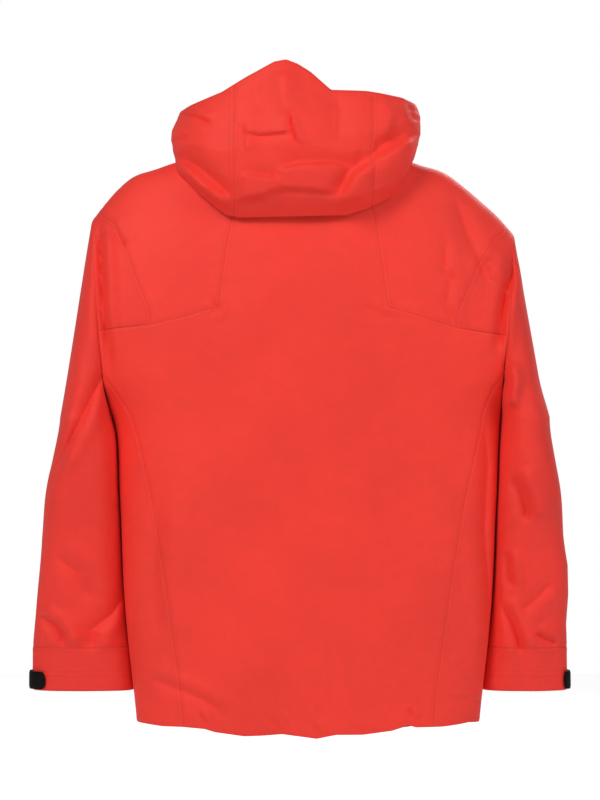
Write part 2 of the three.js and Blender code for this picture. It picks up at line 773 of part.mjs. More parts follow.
function collarFrontAngle(halfWidth, height) {
  const share = halfWidth / lerp(NECK.halfWidth, COLLAR_TOP.halfWidth, height);
  return Math.PI - Math.atan2(share, (1 - share ** SQUARENESS) ** (1 / SQUARENESS));
}

function collarBand(frontHalfWidth, depth, thickness, low, high) {
  const at = (inward) => (u, v) => {
    const height = lerp(low, high, v);
    const end = collarFrontAngle(frontHalfWidth, height);
    return collarPoint(lerp(-end, end, u), height, inward);
  };
  return band(at(depth), at(depth + thickness), 44, 2);
}

function addCollar() {
  add('collar_outer', collarBand(ZIP_HALF_WIDTH + LAY, 0, SHELL, 0.012, 1), RED);
  add(
    'collar_lining',
    collarBand(COLLAR_LINING_FRONT, SHELL + 2 * LAY, LINING, 0.03, 0.98),
    GREY_LINING,
  );
}

// ---------------------------------------------------------------- hood

function smooth(from, to, value) {
  return THREE.MathUtils.smoothstep(value, from, to);
}

// angle: 0 is the centre back. height: 0 is the fold at the foot and 1 the edge of the brim.
function hoodPoint(angle, height, inward = 0) {
  const swell = Math.sin(Math.PI * Math.min(height * HOOD_SWELL.rate + HOOD_SWELL.from, 1));
  const base = lerp(HOOD_FOOT.halfWidth, HOOD_TOP.halfWidth, height);
  const baseDepth = lerp(HOOD_FOOT.depth, HOOD_TOP.depth, height);
  const middle = (HOOD_FOOT.halfWidth + HOOD_TOP.halfWidth) / 2;
  const middleDepth = (HOOD_FOOT.depth + HOOD_TOP.depth) / 2;
  const halfWidth = base + (HOOD_BELLY.halfWidth - middle) * swell - inward;
  const depth = baseDepth + (HOOD_BELLY.depth - middleDepth) * swell - inward;
  const share = roundShare(angle, HOOD_SQUARENESS);
  const x = halfWidth * share * Math.sin(angle);
  const sideways = Math.abs(x) / halfWidth;
  const foot = HOOD_FOOT.z + HOOD_FOOT.sideRise * smooth(HOOD_RISE.from, HOOD_RISE.to, sideways);
  const top = HOOD_TOP.z - HOOD_TOP.sideDrop * smooth(0, 1, sideways);
  return new THREE.Vector3(x, HOOD_MIDDLE + depth * share * Math.cos(angle), lerp(foot, top, height));
}

function hoodBand(fromAngle, toAngle, low, high, columns, rows) {
  const at = (inward) => (u, v) => {
    const height = lerp(low, high, v);
    return hoodPoint(lerp(fromAngle(height), toAngle(height), u), height, inward);
  };
  return band(at(0), at(SHELL), columns, rows);
}

function addHood() {
  const sideAngle = degToRad(HOOD_SIDE_ANGLE);
  const seamAngle = (height, shift) => {
    const halfWidth = Math.abs(hoodPoint(Math.PI / 2, height).x);
    const share = (HOOD_SEAM + shift) / halfWidth;
    return Math.atan2(share, (1 - share ** HOOD_SQUARENESS) ** (1 / HOOD_SQUARENESS));
  };
  const crownEdge = (height) => seamAngle(height, -SEAM / 2);
  const sideEdge = (height) => seamAngle(height, SEAM / 2);
  const brimFoot = BRIM + BRIM_SEAM;
  add('hood_crown', hoodBand((h) => -crownEdge(h), crownEdge, 0, BRIM, 8, 8), RED);
  addPair('hood_side', hoodBand(sideEdge, () => sideAngle, 0, BRIM, 7, 8), RED);
  add('hood_brim', hoodBand(() => -sideAngle, () => sideAngle, brimFoot, 1, 24, 2), RED_TRIM);
}

// The panel between the collar and the fold of the hood, which bends when the hood is raised.
function addHoodNeckPanel() {
  const sideAngle = degToRad(HOOD_SIDE_ANGLE - NECK_PANEL_MARGIN);
  const outer = (u, v) => {
    const angle = lerp(-sideAngle, sideAngle, u);
    const seat = collarPoint(angle, NECK_PANEL_RISE, -LAY);
    const fold = hoodPoint(angle, HOOD_SEAT, SHELL + 2 * LAY);
    const point = seat.lerp(fold, v);
    return point.setZ(point.z + NECK_PANEL_BOW * Math.sin(Math.PI * v));
  };
  const inner = (u, v) => {
    const point = outer(u, v);
    return point.setZ(point.z + LINING);
  };
  add('hood_neck_panel', band(outer, inner, 20, 3), RED_INSIDE);
}

// ---------------------------------------------------------------- zips

const ZIP_BACK = LAY + TEETH_DEPTH / 2; // teeth are centred on the tape

// A slider plate with two lugs, facing -Y. Its centre is at the origin of the group.
function sliderGeometry(plateFront) {
  const plate = box(
    SLIDER.width, SLIDER.plate, SLIDER.length,
    0, plateFront + SLIDER.plate / 2, 0,
  );
  let solid = toManifold(plate);
  const lugX = PULLER.barrelLength / 2 + LAY + LUG.width / 2;
  const sunk = 0.5; // into the plate
  for (const side of [-1, 1]) {
    const lug = box(
      LUG.width, LUG.height + sunk, LUG.length,
      side * lugX, plateFront - (LUG.height - sunk) / 2, 0,
    );
    solid = solid.add(toManifold(lug));
  }
  return fromManifold(solid);
}

// A puller hanging from a barrel between the lugs.
function pullerGeometry(plateFront) {
  const pivot = plateFront - PULLER.barrel - LAY;
  const barrel = new THREE.CylinderGeometry(
    PULLER.barrel, PULLER.barrel, PULLER.barrelLength, 12,
  ).rotateZ(Math.PI / 2).translate(0, pivot, 0);
  const neck = box(
    PULLER.neck, PULLER.thickness, PULLER.neckTop - PULLER.neckEnd,
    0, pivot, (PULLER.neckTop + PULLER.neckEnd) / 2,
  );
  const outline = new THREE.Shape();
  const half = PULLER.width / 2;
  outline.moveTo(-half * PULLER.shoulder, PULLER.shoulderTop);
  outline.lineTo(half * PULLER.shoulder, PULLER.shoulderTop);
  outline.lineTo(half, PULLER.shoulderEnd);
  outline.lineTo(half, -PULLER.length + half);
  outline.absarc(0, -PULLER.length + half, half, 0, -Math.PI, true);
  outline.lineTo(-half, PULLER.shoulderEnd);
  const plate = new THREE.ExtrudeGeometry(outline, {
    depth: PULLER.thickness,
    bevelEnabled: false,
    curveSegments: 8,
  }).rotateX(Math.PI / 2).translate(0, pivot + PULLER.thickness / 2, 0);
  return fromManifold(toManifold(barrel).add(toManifold(neck)).add(toManifold(plate)));
}

function addZipSlider(name, group, front, z) {
  const plateFront = front - LAY - SLIDER.plate;
  add(`${name}_slider`, sliderGeometry(plateFront).translate(0, 0, z), BLACK_ZIP, group);
  add(`${name}_puller`, pullerGeometry(plateFront).translate(0, 0, z), BLACK_ZIP, group);
}

const COLLAR_FRONT_TOP = COLLAR_TOP.z - COLLAR_TOP.frontDrop;
const MAIN_ZIP_BOTTOM = HEM.z + ZIP_BOX.length + 2 * ZIP_BOX.gap;
const MAIN_ZIP_TOP = COLLAR_FRONT_TOP - MAIN_ZIP_TOP_STOP;

function addMainZip() {
  const length = MAIN_ZIP_TOP - MAIN_ZIP_BOTTOM;
  const middle = (MAIN_ZIP_TOP + MAIN_ZIP_BOTTOM) / 2;
  const tapeWidth = ZIP_HALF_WIDTH - TEETH_HALF_WIDTH - 2 * LAY;
  const tapeX = TEETH_HALF_WIDTH + LAY + tapeWidth / 2;
  const teethWidth = TEETH_HALF_WIDTH - LAY / 2;
  const tapeLength = MAIN_ZIP_TOP - HEM.z;
  const tapeMiddle = (MAIN_ZIP_TOP + HEM.z) / 2;
  const tape = box(tapeWidth, TAPE, tapeLength, tapeX, -FRONT_DEPTH + ZIP_BACK, tapeMiddle);
  const teeth = box(
    teethWidth, TEETH_DEPTH, length,
    LAY / 2 + teethWidth / 2, -FRONT_DEPTH + ZIP_BACK, middle,
  );
  addPair('main_zip_tape', tape, BLACK_TAPE);
  addPair('main_zip_teeth', teeth, BLACK_ZIP);
  add('main_zip_box', box(
    ZIP_BOX.width, ZIP_BOX.depth, ZIP_BOX.length,
    0, -FRONT_DEPTH + ZIP_BACK, HEM.z + ZIP_BOX.length / 2 + ZIP_BOX.gap,
  ), BLACK_ZIP);
  const teethFront = -FRONT_DEPTH + ZIP_BACK - TEETH_DEPTH / 2;
  const sliderZ = MAIN_ZIP_TOP - SLIDER.length / 2 - MAIN_SLIDER_DROP;
  addZipSlider('main_zip', jacket, teethFront, sliderZ);
}

function addStormFlap() {
  const back = -FRONT_DEPTH + ZIP_BACK + TEETH_DEPTH / 2 + LAY;
  add('storm_flap', box(
    2 * STORM_FLAP_HALF_WIDTH, LINING, MAIN_ZIP_TOP - MAIN_ZIP_BOTTOM,
    0, back + LINING / 2, (MAIN_ZIP_TOP + MAIN_ZIP_BOTTOM) / 2,
  ), RED_INSIDE);
  add('chin_guard', box(
    CHIN_GUARD.width, CHIN_GUARD.thickness, CHIN_GUARD.height,
    0, back + LINING + LAY + CHIN_GUARD.thickness / 2,
    COLLAR_FRONT_TOP - CHIN_GUARD.height / 2 - CHIN_GUARD.drop,
  ), GREY_LINING);
}

// A hand pocket: its zip lies on the front panel, square to the surface there.
function addHandPocket(sideName, side) {
  const middle = POCKET_ZIP.top - POCKET_ZIP.length / 2;
  const place = placeAt(POCKET_ZIP.x, middle, true);
  const point = bodyPoint(place);
  const normal = bodyNormal(place);
  const group = new THREE.Group();
  group.position.set(side * point.x, point.y, middle);
  group.rotation.z = side * Math.atan2(normal.x, -normal.y);
  jacket.add(group);
  const tapeBack = -POCKET_ZIP_STAND_OFF;
  const half = POCKET_ZIP.halfWidth;
  const teethWidth = 2 * TEETH_HALF_WIDTH;
  for (const [edge, sign] of [['front', -1], ['rear', 1]]) {
    const width = half - teethWidth / 2 - LAY;
    add(`pocket_zip_tape_${edge}_${sideName}`, box(
      width, TAPE, POCKET_ZIP.length,
      sign * side * (teethWidth / 2 + LAY + width / 2), tapeBack - TAPE / 2, 0,
    ), BLACK_TAPE, group);
  }
  add(`pocket_zip_teeth_${sideName}`, box(
    teethWidth, POCKET_ZIP.teethDepth, POCKET_ZIP.length - 2 * POCKET_TEETH_STOP,
    0, tapeBack - POCKET_ZIP.teethDepth / 2, 0,
  ), BLACK_ZIP, group);
  addZipSlider(
    `pocket_zip_${sideName}`, group, tapeBack - POCKET_ZIP.teethDepth,
    POCKET_ZIP.length / 2 - POCKET_SLIDER_DROP,
  );
}

function addPocketBags() {
  const at = (x, z) => placeAt(x, z, true);
  const { inner, outer, top, bottom } = POCKET_BAG;
  const places = patch(
    (u) => at(lerp(inner, outer, u), bottom),
    (u) => at(lerp(inner, outer, u), top),
    (v) => at(inner, lerp(bottom, top, v)),
    (v) => at(outer, lerp(bottom, top, v)),
    5,
    4,
  );
  addPair('pocket_bag', bodyPanel([places], SHELL + POCKET_BAG.gap, LINING), GREY_LINING);
}

// ---------------------------------------------------------------- hem

function addHemFacing() {
  const depth = SHELL + LAY + HEM_TUNNEL;
  const top = positionOfHeight(BODY_RINGS, HEM.z + HEM_FACING_HEIGHT);
  const end = placeAt(HEM_FACING_END, HEM.z, true).x;
  const foldDepth = SHELL + 3 * LAY;
  const rows = 3;
  const places = patch(
    (u) => new THREE.Vector2(lerp(-end, end, u), 0),
    (u) => new THREE.Vector2(lerp(-end, end, u), top),
    (v) => new THREE.Vector2(-end, lerp(0, top, v)),
    (v) => new THREE.Vector2(end, lerp(0, top, v)),
    34,
    rows,
  );
  // The facing stands off the shell by the tunnel and comes back to it along its top edge.
  const grid = places.map((line, row) => line.map((place) => {
    const point = bodyPoint(place);
    const normal = bodyNormal(place);
    const inward = row === rows ? foldDepth : depth;
    return [
      point.clone().addScaledVector(normal, -inward),
      point.clone().addScaledVector(normal, -inward - LINING),
    ];
  }));
  add('hem_facing', solidBetween([grid]), RED_INSIDE);
}

const CORD_HEIGHT = HEM.z + HEM_CORD_RISE;

// The cord runs in the tunnel from one lock, round the back, to the other.
function addHemCord() {
  const position = positionOfHeight(BODY_RINGS, CORD_HEIGHT);
  const depth = SHELL + LAY + HEM_TUNNEL / 2;
  const end = placeAt(HEM_FACING_END - CORD_LOCK.length / 2, CORD_HEIGHT, true).x;
  const points = [];
  const steps = 40;
  for (let step = 0; step <= steps; step += 1) {
    const place = new THREE.Vector2(lerp(-end, end, step / steps), position);
    points.push(bodyPoint(place).addScaledVector(bodyNormal(place), -depth));
  }
  const section = new THREE.Shape();
  section.absarc(0, 0, HEM_CORD / 2, 0, 2 * Math.PI, false);
  const cord = new THREE.ExtrudeGeometry(section, {
    steps: 56,
    curveSegments: 4,
    extrudePath: new THREE.CatmullRomCurve3(points),
  });
  add('hem_cord', cord, BLACK_TAPE);
}

// A cord lock behind the front of the hem, with a plunger that is pressed towards the cord.
function addCordLock(sideName, side) {
  const { length, height, depth, bore } = CORD_LOCK;
  const x = HEM_FACING_END - CORD_LOCK.length - HEM_CORD / 2;
  const surface = bodyPoint(placeAt(x, CORD_HEIGHT, true));
  const y = surface.y + SHELL + 2 * LAY + depth / 2;
  const boreDepth = length - CORD_LOCK.end;
  const plungerRadius = bore / 2 - LAY;
  let body = toManifold(box(length, depth, height, 0, 0, 0));
  const hole = new THREE.CylinderGeometry(bore / 2, bore / 2, boreDepth + 1, ROUND_SIDES)
    .rotateZ(Math.PI / 2)
    .translate(-(length / 2) + (boreDepth - 1) / 2, 0, 0);
  body = body.subtract(toManifold(hole));
  const plunger = new THREE.CylinderGeometry(
    plungerRadius, plungerRadius, PLUNGER.length, ROUND_SIDES,
  ).rotateZ(Math.PI / 2).translate(-(length / 2) + PLUNGER.length / 2 - PLUNGER.reach, 0, 0);
  const place = (geometry) => (side > 0 ? geometry : mirrored(geometry))
    .translate(side * x, y, CORD_HEIGHT);
  add(`cord_lock_${sideName}`, place(fromManifold(body)), BLACK_ZIP);
  add(`cord_lock_plunger_${sideName}`, place(toIndexed(plunger)), BLACK_TAB);
}

// ---------------------------------------------------------------- hang loop

function addHangLoop() {
  const half = LOOP.span / 2;
  const handle = LOOP_SEAT - LOOP.reach * 4 / 3;
  const foot = LOOP.thickness * 1.5;
  const innerHandle = handle + LOOP.thickness * 4 / 3;
  const outline = new THREE.Shape();
  outline.moveTo(-half, LOOP_SEAT);
  outline.bezierCurveTo(-half * 0.6, handle, half * 0.6, handle, half, LOOP_SEAT);
  outline.lineTo(half - foot, LOOP_SEAT);
  outline.bezierCurveTo(
    half * 0.6 - foot, innerHandle, -half * 0.6 + foot, innerHandle,
    -half + foot, LOOP_SEAT,
  );
  const strip = new THREE.ExtrudeGeometry(outline, {
    depth: LOOP.height,
    bevelEnabled: false,
    curveSegments: 10,
  }).translate(0, 0, LOOP.z - LOOP.height / 2);
  add('hang_loop', strip, BLACK_TAPE);
}

// ---------------------------------------------------------------- assembly

addBackPanel();
addFrontPanels();
addShoulderYokes();
addSleeveHeads();
addSidePanels();
addUpperSleeves();
addLowerSleeves();
addCuffTabs();
addCollar();
addHood();
addHoodNeckPanel();
addMainZip();
addStormFlap();
addPocketBags();
addHandPocket('left', 1);
addHandPocket('right', -1);
addHemFacing();
addHemCord();
addCordLock('left', 1);
addCordLock('right', -1);
addHangLoop();

export default jacket;
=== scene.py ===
import math

import bpy
import numpy as np
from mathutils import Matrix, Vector, kdtree


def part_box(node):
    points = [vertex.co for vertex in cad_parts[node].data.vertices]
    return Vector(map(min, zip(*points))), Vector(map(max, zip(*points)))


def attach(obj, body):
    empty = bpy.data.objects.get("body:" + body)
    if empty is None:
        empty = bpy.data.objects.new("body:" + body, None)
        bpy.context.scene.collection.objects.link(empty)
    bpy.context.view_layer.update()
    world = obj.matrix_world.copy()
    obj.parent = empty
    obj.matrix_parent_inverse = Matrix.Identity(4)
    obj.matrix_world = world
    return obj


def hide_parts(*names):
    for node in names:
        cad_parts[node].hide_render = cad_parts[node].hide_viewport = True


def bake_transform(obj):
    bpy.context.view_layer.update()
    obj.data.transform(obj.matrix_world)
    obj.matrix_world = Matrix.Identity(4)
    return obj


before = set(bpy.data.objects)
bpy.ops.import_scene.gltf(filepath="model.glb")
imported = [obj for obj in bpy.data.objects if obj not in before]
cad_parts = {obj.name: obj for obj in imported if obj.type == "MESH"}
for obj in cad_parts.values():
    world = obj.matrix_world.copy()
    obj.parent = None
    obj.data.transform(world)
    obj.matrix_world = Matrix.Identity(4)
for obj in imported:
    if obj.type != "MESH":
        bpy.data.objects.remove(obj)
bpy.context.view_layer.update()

# ---------------------------------------------------------------- sizes, in millimetres
# The shell is drawn about the middle of the body, as the CAD part is, then moved by ORIGIN.

SQUARENESS = 2.6
SLEEVE_SQUARENESS = 2.3
HOOD_SQUARENESS = 3.0
FRONT_DEPTH = 80.0
DROP_POWER = 3.5
FABRIC = 1.1  # thickness of the shell fabric
HOOD_FABRIC = 1.3
LINING = 0.8

# height, half width, depth at the back, how much lower the ring passes at the front
BODY_RINGS = np.array([
    (-768, 231, 74, 0), (-690, 238, 77, 0), (-580, 248, 80, 0), (-450, 254, 84, 0),
    (-335, 263, 88, 0), (-280, 306, 90, 0), (-210, 338, 90, 0), (-140, 324, 86, 0),
    (-85, 284, 80, 0), (-42, 250, 76, 35), (-14, 216, 73, 57), (6, 160, 71, 73), (9, 90, 70, 72),
], float)
HEM_Z, ARMPIT_Z, SHOULDER_Z = -768.0, -335.0, -85.0
POCKET_X, POCKET_MIDDLE, POCKET_LENGTH = 150.0, -452.0, 160.0
ARMPIT_X, SHOULDER_X = 263.0, 284.0
ARMPIT_RING, SHOULDER_RING, NECK_RING = 4, 8, 12
DEEPEST_BACK = 90.0
# height, half width, half depth, middle
SLEEVE_RINGS = np.array([
    (-341, 31, 78, -2), (-392, 37, 72, -3), (-450, 43, 64, -4), (-520, 47, 54, -8),
    (-600, 54, 41, -12), (-650, 59, 34, -14), (-709, 63, 29, -15),
], float)
BODY_GAP = 3.5
ELBOW_Z, CUFF_TOP_Z, CUFF_END_Z = -450.0, -650.0, -709.0

YOKE_CORNER = (112, -193)
YOKE_SEAM = [YOKE_CORNER, (170, -210), (203, -219)]
SLEEVE_SEAM = [(203, -219), (201, -203), (215, -173), (233, -128), (254, -88)]
SLEEVE_SEAM_RIDGE = 266
SLEEVE_SEAM_FOOT = -228
PANEL_SEAM = [YOKE_CORNER, (97, -135), (80, -78), (62, -20), (56, 2)]
SIDE_SEAM = [(166, -768), (172, -690), (187, -580), (208, -450), (235, -335), (254, -300)]
SIDE_SEAM_TOP = -284
PANEL_FOOT = 96
ZIP_HALF_WIDTH = 14.5
COLLAR_TOP = np.array([58, 82, 64, 44], float)

SIDES = (("left", 1), ("right", -1))

back_low, back_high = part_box("back_panel")
ORIGIN = np.array([0.0, back_high.y * 1000 - DEEPEST_BACK, back_low.z * 1000 - HEM_Z])


def to_frame(points):
    return (np.asarray(points, float) + ORIGIN) / 1000


# ---------------------------------------------------------------- curves

def vectors(*parts):
    """Points or other rows of numbers from one array or number for each of their places."""
    return np.stack(np.broadcast_arrays(*parts), -1)


def smooth(low, high, value):
    t = np.clip((np.asarray(value, float) - low) / (high - low), 0, 1)
    return t * t * (3 - 2 * t)


def ring_at(rings, position):
    position = np.asarray(position, float)
    last = len(rings) - 1
    index = np.clip(np.floor(position).astype(int), 0, last - 1)
    t = (position - index)[..., None]
    a, b, c, d = (rings[np.clip(index + step, 0, last)] for step in (-1, 0, 1, 2))
    return 0.5 * (2 * b + (c - a) * t + (2 * a - 5 * b + 4 * c - d) * t ** 2
                  + (3 * b - a - 3 * c + d) * t ** 3)


def position_of_height(rings, z):
    z = np.asarray(z, float)
    low, high = np.zeros(z.shape), np.full(z.shape, len(rings) - 1.0)
    rising = rings[-1, 0] > rings[0, 0]
    for _ in range(36):
        middle = (low + high) / 2
        below = (ring_at(rings, middle)[..., 0] < z) == rising
        low, high = np.where(below, middle, low), np.where(below, high, middle)
    return (low + high) / 2


def along(points, share):
    points = np.asarray(points, float)
    steps = np.r_[0, np.cumsum(np.linalg.norm(np.diff(points, axis=0), axis=1))]
    run = np.clip(np.asarray(share, float), 0, 1) * steps[-1]
    return np.stack([np.interp(run, steps, points[:, k]) for k in range(points.shape[1])], -1)


def round_share(angle, squareness):
    return (np.abs(np.sin(angle)) ** squareness
            + np.abs(np.cos(angle)) ** squareness) ** (-1 / squareness)


# ---------------------------------------------------------------- body surface

def ring_point(ring, angle):
    share = round_share(angle, SQUARENESS)
    depth = np.where(np.cos(angle) >= 0, ring[..., 2], FRONT_DEPTH)
    towards_front = (1 - np.cos(angle)) / 2
    return vectors(ring[..., 1] * share * np.sin(angle), depth * share * np.cos(angle),
                   ring[..., 0] - ring[..., 3] * towards_front ** DROP_POWER)


def body_point(places):
    return ring_point(ring_at(BODY_RINGS, places[..., 1]), places[..., 0])


def place_on_ring(x, position, front):
    share = np.minimum(np.abs(x) / ring_at(BODY_RINGS, position)[..., 1], 1)
    angle = np.arctan2(share, (1 - share ** SQUARENESS) ** (1 / SQUARENESS))
    if front:
        angle = math.pi - angle
    return vectors(np.where(np.asarray(x) < 0, -angle, angle), position)


def place_at(x, z, front):
    return place_on_ring(x, position_of_height(BODY_RINGS, z), front)


def armhole_x(z):
    return ARMPIT_X + (SHOULDER_X - ARMPIT_X) * (z - ARMPIT_Z) / (SHOULDER_Z - ARMPIT_Z)


def armhole_place(z, front):
    return place_at(armhole_x(z), z, front)


def patch(bottom, top, left, right, us, vs):
    """Places between four edges, each an array of places for the us or the vs."""
    u, v = us[None, :, None], vs[:, None, None]
    return ((1 - v) * bottom[None] + v * top[None] + (1 - u) * left[:, None] + u * right[:, None]
            - (1 - u) * (1 - v) * bottom[0] - u * (1 - v) * bottom[-1]
            - (1 - u) * v * top[0] - u * v * top[-1])


NEAR_SEAM = [0, 0.9, 2.0, 3.6, 6.0]


def spaced(length, step, near_start=True, near_end=True):
    """Shares of a length, closer together beside a seam."""
    start = NEAR_SEAM if near_start else [0]
    end = [length - value for value in reversed(NEAR_SEAM)] if near_end else [length]
    count = max(int(round((end[0] - start[-1]) / step)), 1)
    middle = np.linspace(start[-1], end[0], count + 1)
    return np.r_[start[:-1], middle, end[1:]] / length


# ---------------------------------------------------------------- folds
# Each fold is a line of (x, z), its depth, its width, and its kind:
# crease: a sharp line between two swellings; valley: a soft one beside a swelling; ridge: a raised line;
# step: the side to the right of the line's direction lies over the other one.

def nearest_on_line(x, z, line):
    """Signed distance to a line and the share of its length, for every point."""
    line = np.asarray(line, float)
    best = np.full(x.shape, 1e9)
    side = np.zeros(x.shape)
    share = np.zeros(x.shape)
    lengths = np.linalg.norm(np.diff(line, axis=0), axis=1)
    runs = np.r_[0, np.cumsum(lengths)]
    for k in range(len(lengths)):
        a, d = line[k], (line[k + 1] - line[k]) / lengths[k]
        px, pz = x - a[0], z - a[1]
        t = np.clip(px * d[0] + pz * d[1], 0, lengths[k])
        qx, qz = px - t * d[0], pz - t * d[1]
        distance = np.hypot(qx, qz)
        closer = distance < best
        best = np.where(closer, distance, best)
        side = np.where(closer, np.sign(px * d[1] - pz * d[0]), side)
        share = np.where(closer, (runs[k] + t) / runs[-1], share)
    return best * side, share


def fold_height(x, z, fold):
    line, depth, width, kind = fold
    s, share = nearest_on_line(x, z, line)
    ends = smooth(0, 0.22, share) * smooth(1, 0.78, share)
    if kind == "crease":
        shape = (-np.exp(-np.abs(s) / (0.8 * width))
                 + 0.75 * np.exp(-((s - 1.7 * width) / (1.3 * width)) ** 2)
                 + 0.3 * np.exp(-((s + 2.0 * width) / (1.5 * width)) ** 2))
    elif kind == "valley":
        shape = -np.exp(-(s / width) ** 2) + 0.45 * np.exp(-((s - 2.1 * width) / (1.6 * width)) ** 2)
    elif kind == "ridge":
        shape = np.exp(-(s / width) ** 2)
    else:
        over = 0.5 + 0.5 * np.tanh(s / (0.16 * width))
        shape = over * np.exp(-(s / (1.8 * width)) ** 2) - (1 - over) * np.exp(-(s / width) ** 2)
    return depth * ends * shape


def relief(x, z, folds):
    total = np.zeros(x.shape)
    for fold in folds:
        total += fold_height(x, z, fold)
    return total


# seed, length and height of the slow waves in each part of the cloth
BACK_WAVES, FRONT_WAVES = (3, 105, 2.2), (5, 110, 2.4)
SLEEVE_WAVES, SLEEVE_FRONT_WAVES = (8, 46, 2.4), (9, 50, 2.4)
HOOD_WAVES = (12, 60, 1.6)


def waves(x, z, seed, size, amount):
    """Slow, uneven swelling of hanging cloth."""
    rng = np.random.default_rng(seed)
    total = np.zeros(x.shape)
    for _ in range(7):
        turn = rng.uniform(-0.5, 0.5)
        length = size * rng.uniform(0.7, 1.8)
        phase = rng.uniform(0, 2 * math.pi)
        total += np.sin((x * math.cos(turn) + z * 0.35 * math.sin(turn)) * 2 * math.pi / length + phase
                        + 1.3 * np.sin(z / (2.2 * size) + phase * 2))
    return amount * total / 7


BACK_FOLDS = [
    ([(273, -77), (270, -135), (266, -209), (259, -250), (257, -290)], 9.1, 7, "crease"),
    ([(-281, -96), (-279, -140), (-269, -171), (-263, -211), (-259, -262)], 11.7, 7, "crease"),
    ([(-201, -31), (-220, -82), (-232, -115), (-251, -166)], 5.9, 12, "crease"),
    ([(-185, -86), (-189, -105), (-188, -147), (-196, -152), (-191, -186), (-204, -240)], 3.9, 7, "crease"),
    ([(119, -183), (114, -197), (122, -206)], 3.4, 5, "crease"),
    ([(-88, -190), (-100, -205), (-113, -212)], 3.4, 5, "crease"),
    ([(-104, -178), (-108, -200), (-121, -214)], 2.9, 4, "crease"),
    ([(198, -435), (200, -500), (206, -560), (196, -640)], 4.5, 12, "crease"),
    ([(-234, -336), (-240, -405), (-236, -491), (-241, -560), (-244, -628), (-242, -667)],
     6.5, 9, "crease"),
    ([(224, -695), (198, -699), (165, -714), (123, -733), (109, -751)], 4.2, 9, "crease"),
    ([(-177, -728), (-205, -732), (-240, -738)], 2.1, 6, "crease"),
    ([(147, -744), (141, -752), (136, -762)], 3.1, 4, "crease"),
    ([(52, -742), (44, -752), (38, -764)], 2.9, 4, "crease"),
    ([(-6, -748), (-12, -758), (-20, -768)], 2.9, 4, "crease"),
    ([(-134, -742), (-136, -750), (-138, -758)], 3.9, 4, "crease"),
    ([(262, -90), (246, -110), (232, -124)], 3.2, 7, "crease"),
    ([(-262, -118), (-246, -126), (-236, -144)], 3.2, 7, "crease"),
    ([(30, -130), (60, -190), (66, -260)], 1.8, 26, "ridge"),
    ([(-60, -300), (-90, -420), (-84, -560)], 2.1, 40, "ridge"),
    ([(80, -330), (96, -470), (84, -620)], 2.1, 38, "ridge"),
]
FRONT_FOLDS = [
    ([(272, -80), (269, -140), (265, -210), (259, -262)], 10.5, 7, "crease"),
    ([(-275, -80), (-270, -140), (-266, -210), (-260, -262)], 10.5, 7, "crease"),
    ([(214, -110), (226, -180), (238, -260)], 5.2, 12, "crease"),
    ([(-205, -100), (-222, -175), (-236, -250)], 5.2, 12, "crease"),
    ([(225, -420), (232, -520), (226, -640)], 6, 11, "crease"),
    ([(-222, -400), (-230, -500), (-226, -620)], 6, 11, "crease"),
    ([(196, -600), (170, -670), (160, -740)], 4.5, 12, "crease"),
    ([(-190, -610), (-168, -680), (-156, -742)], 4.5, 12, "crease"),
    ([(60, -250), (74, -330), (70, -420)], 3.3, 22, "ridge"),
    ([(-66, -240), (-72, -330), (-62, -430)], 3.3, 22, "ridge"),
]
SLEEVE_FOLDS = [
    ([(259, -268), (285, -319), (313, -379), (335, -424)], 10, 8, "crease"),
    ([(263, -450), (257, -456), (252, -470)], 4.4, 5, "crease"),
    ([(357, -604), (332, -621), (321, -634), (319, -652)], 9.5, 8, "crease"),
    ([(243, -572), (263, -603), (287, -626), (288, -660)], 8.5, 9, "crease"),
    ([(330, -520), (300, -548), (286, -590)], 6, 12, "crease"),
    ([(300, -330), (318, -370), (322, -410)], 5, 14, "ridge"),
    ([(-262, -262), (-268, -290), (-258, -326)], 16, 8, "crease"),
    ([(-270, -258), (-276, -300), (-270, -334)], 8, 9, "ridge"),
    ([(-269, -417), (-288, -445), (-298, -483)], 12, 11, "crease"),
    ([(-263, -516), (-268, -545), (-274, -571)], 6.8, 7, "crease"),
    ([(-255, -587), (-275, -616), (-290, -644), (-297, -660)], 9.5, 9, "crease"),
    ([(-313, -628), (-332, -640), (-351, -647)], 7.2, 6, "crease"),
    ([(-320, -360), (-330, -420), (-326, -500)], 5, 16, "ridge"),
    ([(-330, -560), (-305, -590), (-290, -600)], 5, 9, "crease"),
]


def mirrored_folds(folds, scale):
    return [([(-x, z) for x, z in reversed(line)], depth * scale, width, kind)
            for line, depth, width, kind in folds]


SLEEVE_FRONT_FOLDS = mirrored_folds(SLEEVE_FOLDS, 0.6)

HEM_LINE = np.array([
    (-238, -750), (-215, -748), (-200, -750), (-179, -752), (-143, -752),
    (-134, -749), (-111, -756), (-72, -761), (-37, -761), (-11, -766), (20, -762),
    (35, -760), (60, -762), (85, -763), (124, -758), (138, -754), (167, -752),
    (195, -752), (217, -750), (234, -749),
], float)
TRUNK_SHIFT = 7.0
SHOULDER_SLOPE = 9.5
# x, how far down, width, and the heights between which it sets in
SHOULDER_SAGS = [(-228, 8, 36, -125, -70), (-160, 6.5, 24, -60, -15), (200, 3, 22, -60, -15)]
HEM_FRONT_RISE = 17.0
# How much further out than the drawn sleeve each sleeve's outer edge lies, by height.
SLEEVE_SWAY = {
    1: np.array([(-340, 0), (-420, 4), (-505, 5.5), (-560, 4), (-650, 2), (-709, 0)], float),
    -1: np.array([(-290, 3), (-340, 5.5), (-500, 5), (-540, 7), (-580, 3), (-620, -4), (-660, -7),
                  (-709, -8)], float),
}


